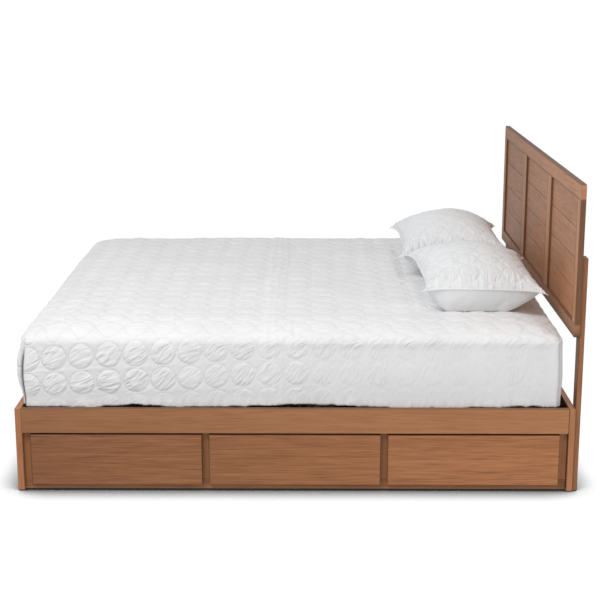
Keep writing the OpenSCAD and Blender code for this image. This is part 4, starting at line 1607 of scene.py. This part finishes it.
@dataclass
class Woodwork:
    """Every timber part of the frame, the headboard and the drawers.

    Attributes:
        edge_strip: where the end boards' upright edge strips start, across the bed.
    """

    edge_strip: float = 0.9905

    # Painted shade along the edges: of the side rail, the drawer fronts, the headboard's rails and
    # uprights, and the posts.
    RAIL_EDGE_SHADE = ((2, 0.003, 0.55),)
    FRONT_EDGE_SHADE = ((2, 0.0035, 0.7), (0, 0.004, 0.55))
    TOP_EDGE_SHADE = ((2, 0.009, 0.6),)
    BOTTOM_EDGE_SHADE = ((2, 0.009, 0.5),)
    UPRIGHT_EDGE_SHADE = ((1, 0.016, 0.62),)
    POST_EDGE_SHADE = ((0, 0.004, 0.6),)
    # Slow changes: painted light lightens the headboard from its near side, a painted shadow darkens its
    # bottom rail downwards, painted shade darkens the head-end board towards the mattress, and the head
    # stile is lighter.
    HEAD_PAINTED_LIGHT = (1, -0.985, 1.97, -0.24)
    LOW_PAINTED_SHADOW = (2, 0.590, 0.075, 0.6)
    INNER_PAINTED_SHADE = (0, 1.010, 0.004, 0.8)
    STILE_FADE = (2, 0.12, 5.0, -0.22)
    # Start and pitch along the bed of the beam's legs and of the slats.
    LEGS = (0, -1.0, 0.35)
    SLATS = (0, -1.03, 0.169)

    def parts(self) -> Dict[str, Board]:
        """The finish of each node, in the order of the pattern's seeds."""
        edge = (Grain.WIDTH.value, self.edge_strip, Grain.UPRIGHT)
        stile_names = "headboard_stile_near headboard_stile_far headboard_mullion_near headboard_mullion_far"
        plank_names = "headboard_planks_near headboard_planks_mid headboard_planks_far"
        # painted light on the headboard, lighter towards its near side
        fades = (self.HEAD_PAINTED_LIGHT,)
        # painted shadow of the mattress and pillows, low on the headboard's bottom rail
        low_fades = (self.HEAD_PAINTED_LIGHT, self.LOW_PAINTED_SHADOW)
        found = {
            "footboard": Board(END_BOARD, Grain.WIDTH, edge),
            # painted shade on the head-end board's inner face, towards the mattress
            "head_end_board": Board(END_BOARD, Grain.WIDTH, edge, fades=(self.INNER_PAINTED_SHADE,)),
            # painted shade along the near side rail's top and bottom edges
            "side_rail_near": Board(RAIL, Grain.LENGTH, shaded_rims=self.RAIL_EDGE_SHADE),
            "side_rail_far side_panel_far": Board(RAIL, Grain.LENGTH),
            "face_bottom_rail": Board(FACE_RAIL, Grain.LENGTH),
            "face_stile_foot face_stile_mid_foot face_stile_mid_head": Board(FACE_STILE, Grain.UPRIGHT),
            "face_stile_head": Board(FACE_STILE, Grain.UPRIGHT, fades=(self.STILE_FADE,)),
            "bay_panel_foot bay_divider_foot bay_divider_head bay_panel_head": Board(BAY_PLY, Grain.WIDTH),
            "bay_back_rail slat_ledge_near slat_ledge_far centre_beam": Board(PINE, Grain.LENGTH),
            "beam_legs": Board(PINE, Grain.UPRIGHT, None, self.LEGS),
            "slats": Board(SLAT_PINE, Grain.WIDTH, None, self.SLATS),
            "headboard_top_rail": Board(HEAD_RAIL, Grain.WIDTH, shaded_rims=self.TOP_EDGE_SHADE, fades=fades),
            "headboard_bottom_rail": Board(HEAD_RAIL, Grain.WIDTH, shaded_rims=self.BOTTOM_EDGE_SHADE, fades=low_fades),
            stile_names: Board(HEAD_STILE, Grain.UPRIGHT, shaded_rims=self.UPRIGHT_EDGE_SHADE, fades=fades),
            plank_names: Board(HEAD_PLANK, Grain.WIDTH, None, self._planks(), fades=fades),
            "headboard_post_near headboard_post_far": Board(POST, Grain.UPRIGHT, shaded_rims=self.POST_EDGE_SHADE),
        }
        for number in range(1, DRAWERS + 1):
            # painted shade along the drawer fronts' edges
            found[f"drawer_front_{number}"] = Board(DRAWER_FRONT, Grain.LENGTH, shaded_rims=self.FRONT_EDGE_SHADE)
            sides = f"drawer_side_foot_{number} drawer_side_head_{number}"
            found[sides] = Board(DRAWER_PLY, Grain.WIDTH)
            found[f"drawer_back_{number}"] = Board(DRAWER_PLY, Grain.LENGTH)
            found[f"drawer_bottom_{number}"] = Board(BOTTOM_PLY, Grain.WIDTH)
        return {name: board for names, board in found.items() for name in names.split()}

    def _planks(self) -> Boards:
        """Axis, start and pitch of the planks in a column."""
        low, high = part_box("headboard_planks_mid")
        return (2, low.z, (high.z - low.z) / 4 + 0.0001)

    def dress(self) -> int:
        """Gives every node its wood.

        Returns:
            How many nodes there are.
        """
        found = self.parts()
        for seed, (name, board) in enumerate(found.items()):
            lines = board.shades(name)
            finish = board.timber.material(name, board.grain, seed + 1, board.ends, board.boards, lines)
            set_material(name, finish)
        return len(found)


@dataclass
class Fittings:
    """Slides, brackets, bolts, screws and glides."""

    def dress(self) -> int:
        """Gives every node its steel or plastic.

        Returns:
            How many nodes there are.
        """
        finishes: Dict[str, Union[Steel, Moulding]] = {
            "outer_slides": SLIDE_STEEL,
            "headboard_bolts": BLACK_STEEL,
            "corner_brackets": ZINC,
            "bracket_screws": ZINC,
            "floor_glides": BLACK_PLASTIC,
        }
        for number in range(1, DRAWERS + 1):
            finishes[f"inner_slides_{number}"] = SLIDE_STEEL
            finishes[f"middle_slides_{number}"] = SLIDE_STEEL
        for name, finish in finishes.items():
            set_material(name, finish.material(name))
        return len(finishes)


def set_material(node: str, material: bpy.types.Material) -> None:
    """Puts one material on all of a CAD node.

    Args:
        node: the node's name.
        material: its finish.
    """
    for slot in frame["nodes"][node].material_slots:
        slot.material = material


# ---------------------------------------------------------------- studio


@dataclass(frozen=True)
class Softbox:
    """One area lamp.

    Attributes:
        name: its name.
        place: where it hangs.
        aim: the point that it faces.
        size: width and height.
        power: watts.
    """

    name: str
    place: Tuple[float, float, float]
    aim: Tuple[float, float, float]
    size: Tuple[float, float]
    power: float

    def hang(self) -> None:
        """Adds the lamp."""
        lamp = bpy.data.lights.new(self.name, "AREA")
        lamp.shape = "RECTANGLE"
        lamp.size, lamp.size_y = self.size
        lamp.energy = self.power
        made = bpy.data.objects.new(self.name, lamp)
        made.location = self.place
        towards = Vector(self.aim) - Vector(self.place)
        made.rotation_euler = towards.to_track_quat("-Z", "Y").to_euler()
        bpy.context.scene.collection.objects.link(made)


@dataclass
class Studio:
    """Pale floor, even white surroundings, soft lamps and the camera.

    Attributes:
        floor_reach: half the floor's width.
        contact_reach: how far from the bed the floor's painted contact shadow reaches.
        sky: strength of the even light.
        lens: the camera's focal length, in millimetres.
        lens_shift: its upward shift.
        viewpoint: where it stands.
        turns: its rotation, in radians.
    """

    floor_reach: float = 260.0
    contact_reach: float = 0.18
    sky: float = 0.59
    lens: float = 83.65
    lens_shift: float = 0.04
    viewpoint: Tuple[float, float, float] = (0.0406, -5.9416, 1.8917)
    turns: Tuple[float, float, float] = (math.radians(75.91), 0.0, 0.0063)

    LAMPS = (
        Softbox("top_box", (-1.7, -3.1, 4.2), (-0.35, -0.3, 0.4), (2.2, 1.4), 118.0),
        Softbox("right_box", (4.2, -3.8, 1.6), (0.6, -0.6, 0.4), (1.2, 1.2), 34.0),
    )
    # Painted contact shadow in the floor's glow: the openness at and under which it is darkest, how fast
    # it lightens, and its two colours.
    FLOOR_OPENNESS = 0.43
    FLOOR_GAIN = 2.45
    FLOOR_SHADOW_COLOUR = (0.03, 0.025, 0.022)
    FLOOR_PALE = (1.02, 1.02, 1.02)

    def build(self) -> None:
        """Sets all of it up."""
        self._camera()
        self._floor()
        self._sky()
        for lamp in self.LAMPS:
            lamp.hang()
        bpy.context.scene.view_settings.view_transform = "Standard"

    def _camera(self) -> None:
        """Adds the camera: a long lens, a little above the bed."""
        data = bpy.data.cameras.new("camera")
        data.sensor_width = 36.0
        data.lens = self.lens
        data.shift_y = self.lens_shift
        data.clip_end = 600.0
        made = bpy.data.objects.new("camera", data)
        made.location = self.viewpoint
        made.rotation_euler = self.turns
        bpy.context.scene.collection.objects.link(made)
        bpy.context.scene.camera = made

    def _floor(self) -> None:
        """Adds the floor, which glows, with a painted contact shadow from ambient occlusion."""
        reach = self.floor_reach
        corners = np.array([(x * reach, y * reach, 0) for x, y in ((-1, -1), (1, -1), (1, 1), (-1, 1))])
        made = make_mesh("floor", corners, [(0, 1, 2, 3)], {})
        graph = Graph("floor")
        settings = {"samples": 12}
        # painted contact shadow: the floor's glow follows ambient occlusion near the bed
        openness = graph.node("ShaderNodeAmbientOcclusion", settings, {"Distance": self.contact_reach}, "AO")
        light = (openness - self.FLOOR_OPENNESS) * self.FLOOR_GAIN
        glow = graph.mix(light, self.FLOOR_SHADOW_COLOUR, self.FLOOR_PALE)
        graph.shade(Base_Color=(0.0, 0.0, 0.0, 1.0), Roughness=1.0, Specular_IOR_Level=0.0)
        graph.shade(Emission_Color=glow, Emission_Strength=1.0)
        made.data.materials.append(graph.material)
        made.visible_diffuse = False
        made.visible_glossy = False

    def _sky(self) -> None:
        """Sets the even light from all round."""
        world = bpy.data.worlds.new("studio")
        world.use_nodes = True
        inputs = world.node_tree.nodes["Background"].inputs
        inputs["Color"].default_value = (1.0, 1.0, 1.0, 1.0)
        inputs["Strength"].default_value = self.sky
        bpy.context.scene.world = world


# ---------------------------------------------------------------- making


def main() -> None:
    """Builds and dresses the bed, then the studio."""
    logging.basicConfig(level=logging.INFO, format="%(name)s: %(message)s")
    Studio().build()
    LOG.info("wooden parts: %d", Woodwork().dress())
    LOG.info("fittings: %d", Fittings().dress())
    mattress = QuiltedMattress(Quilting()).build()
    LOG.info("%s: %d points", mattress.name, len(mattress.data.vertices))
    near = Pillow(
        name="near_pillow",
        node="pillow_near",
        quilt=Quilting(puff=0.0028, seed=23, fineness=10.0),
        seam_height=0.096,
        tilt=0.010,
        phase=(0.1, 0.35),
        seed=31,
        slew=0.020,
        waist=(0.085, 0.06, 0.035),
    )
    far = Pillow(
        name="far_pillow",
        node="pillow_far",
        quilt=Quilting(puff=0.0026, seed=29, fineness=10.0),
        seam_height=0.110,
        tilt=-0.010,
        phase=(0.4, 0.7),
        seed=37,
        end_reach=(0.2, 0.17),
    )
    pair = PillowPair([near, far])
    for piece in pair.build():
        LOG.info("%s: %d points", piece.name, len(piece.data.vertices))


if __name__ == "__main__":
    main()
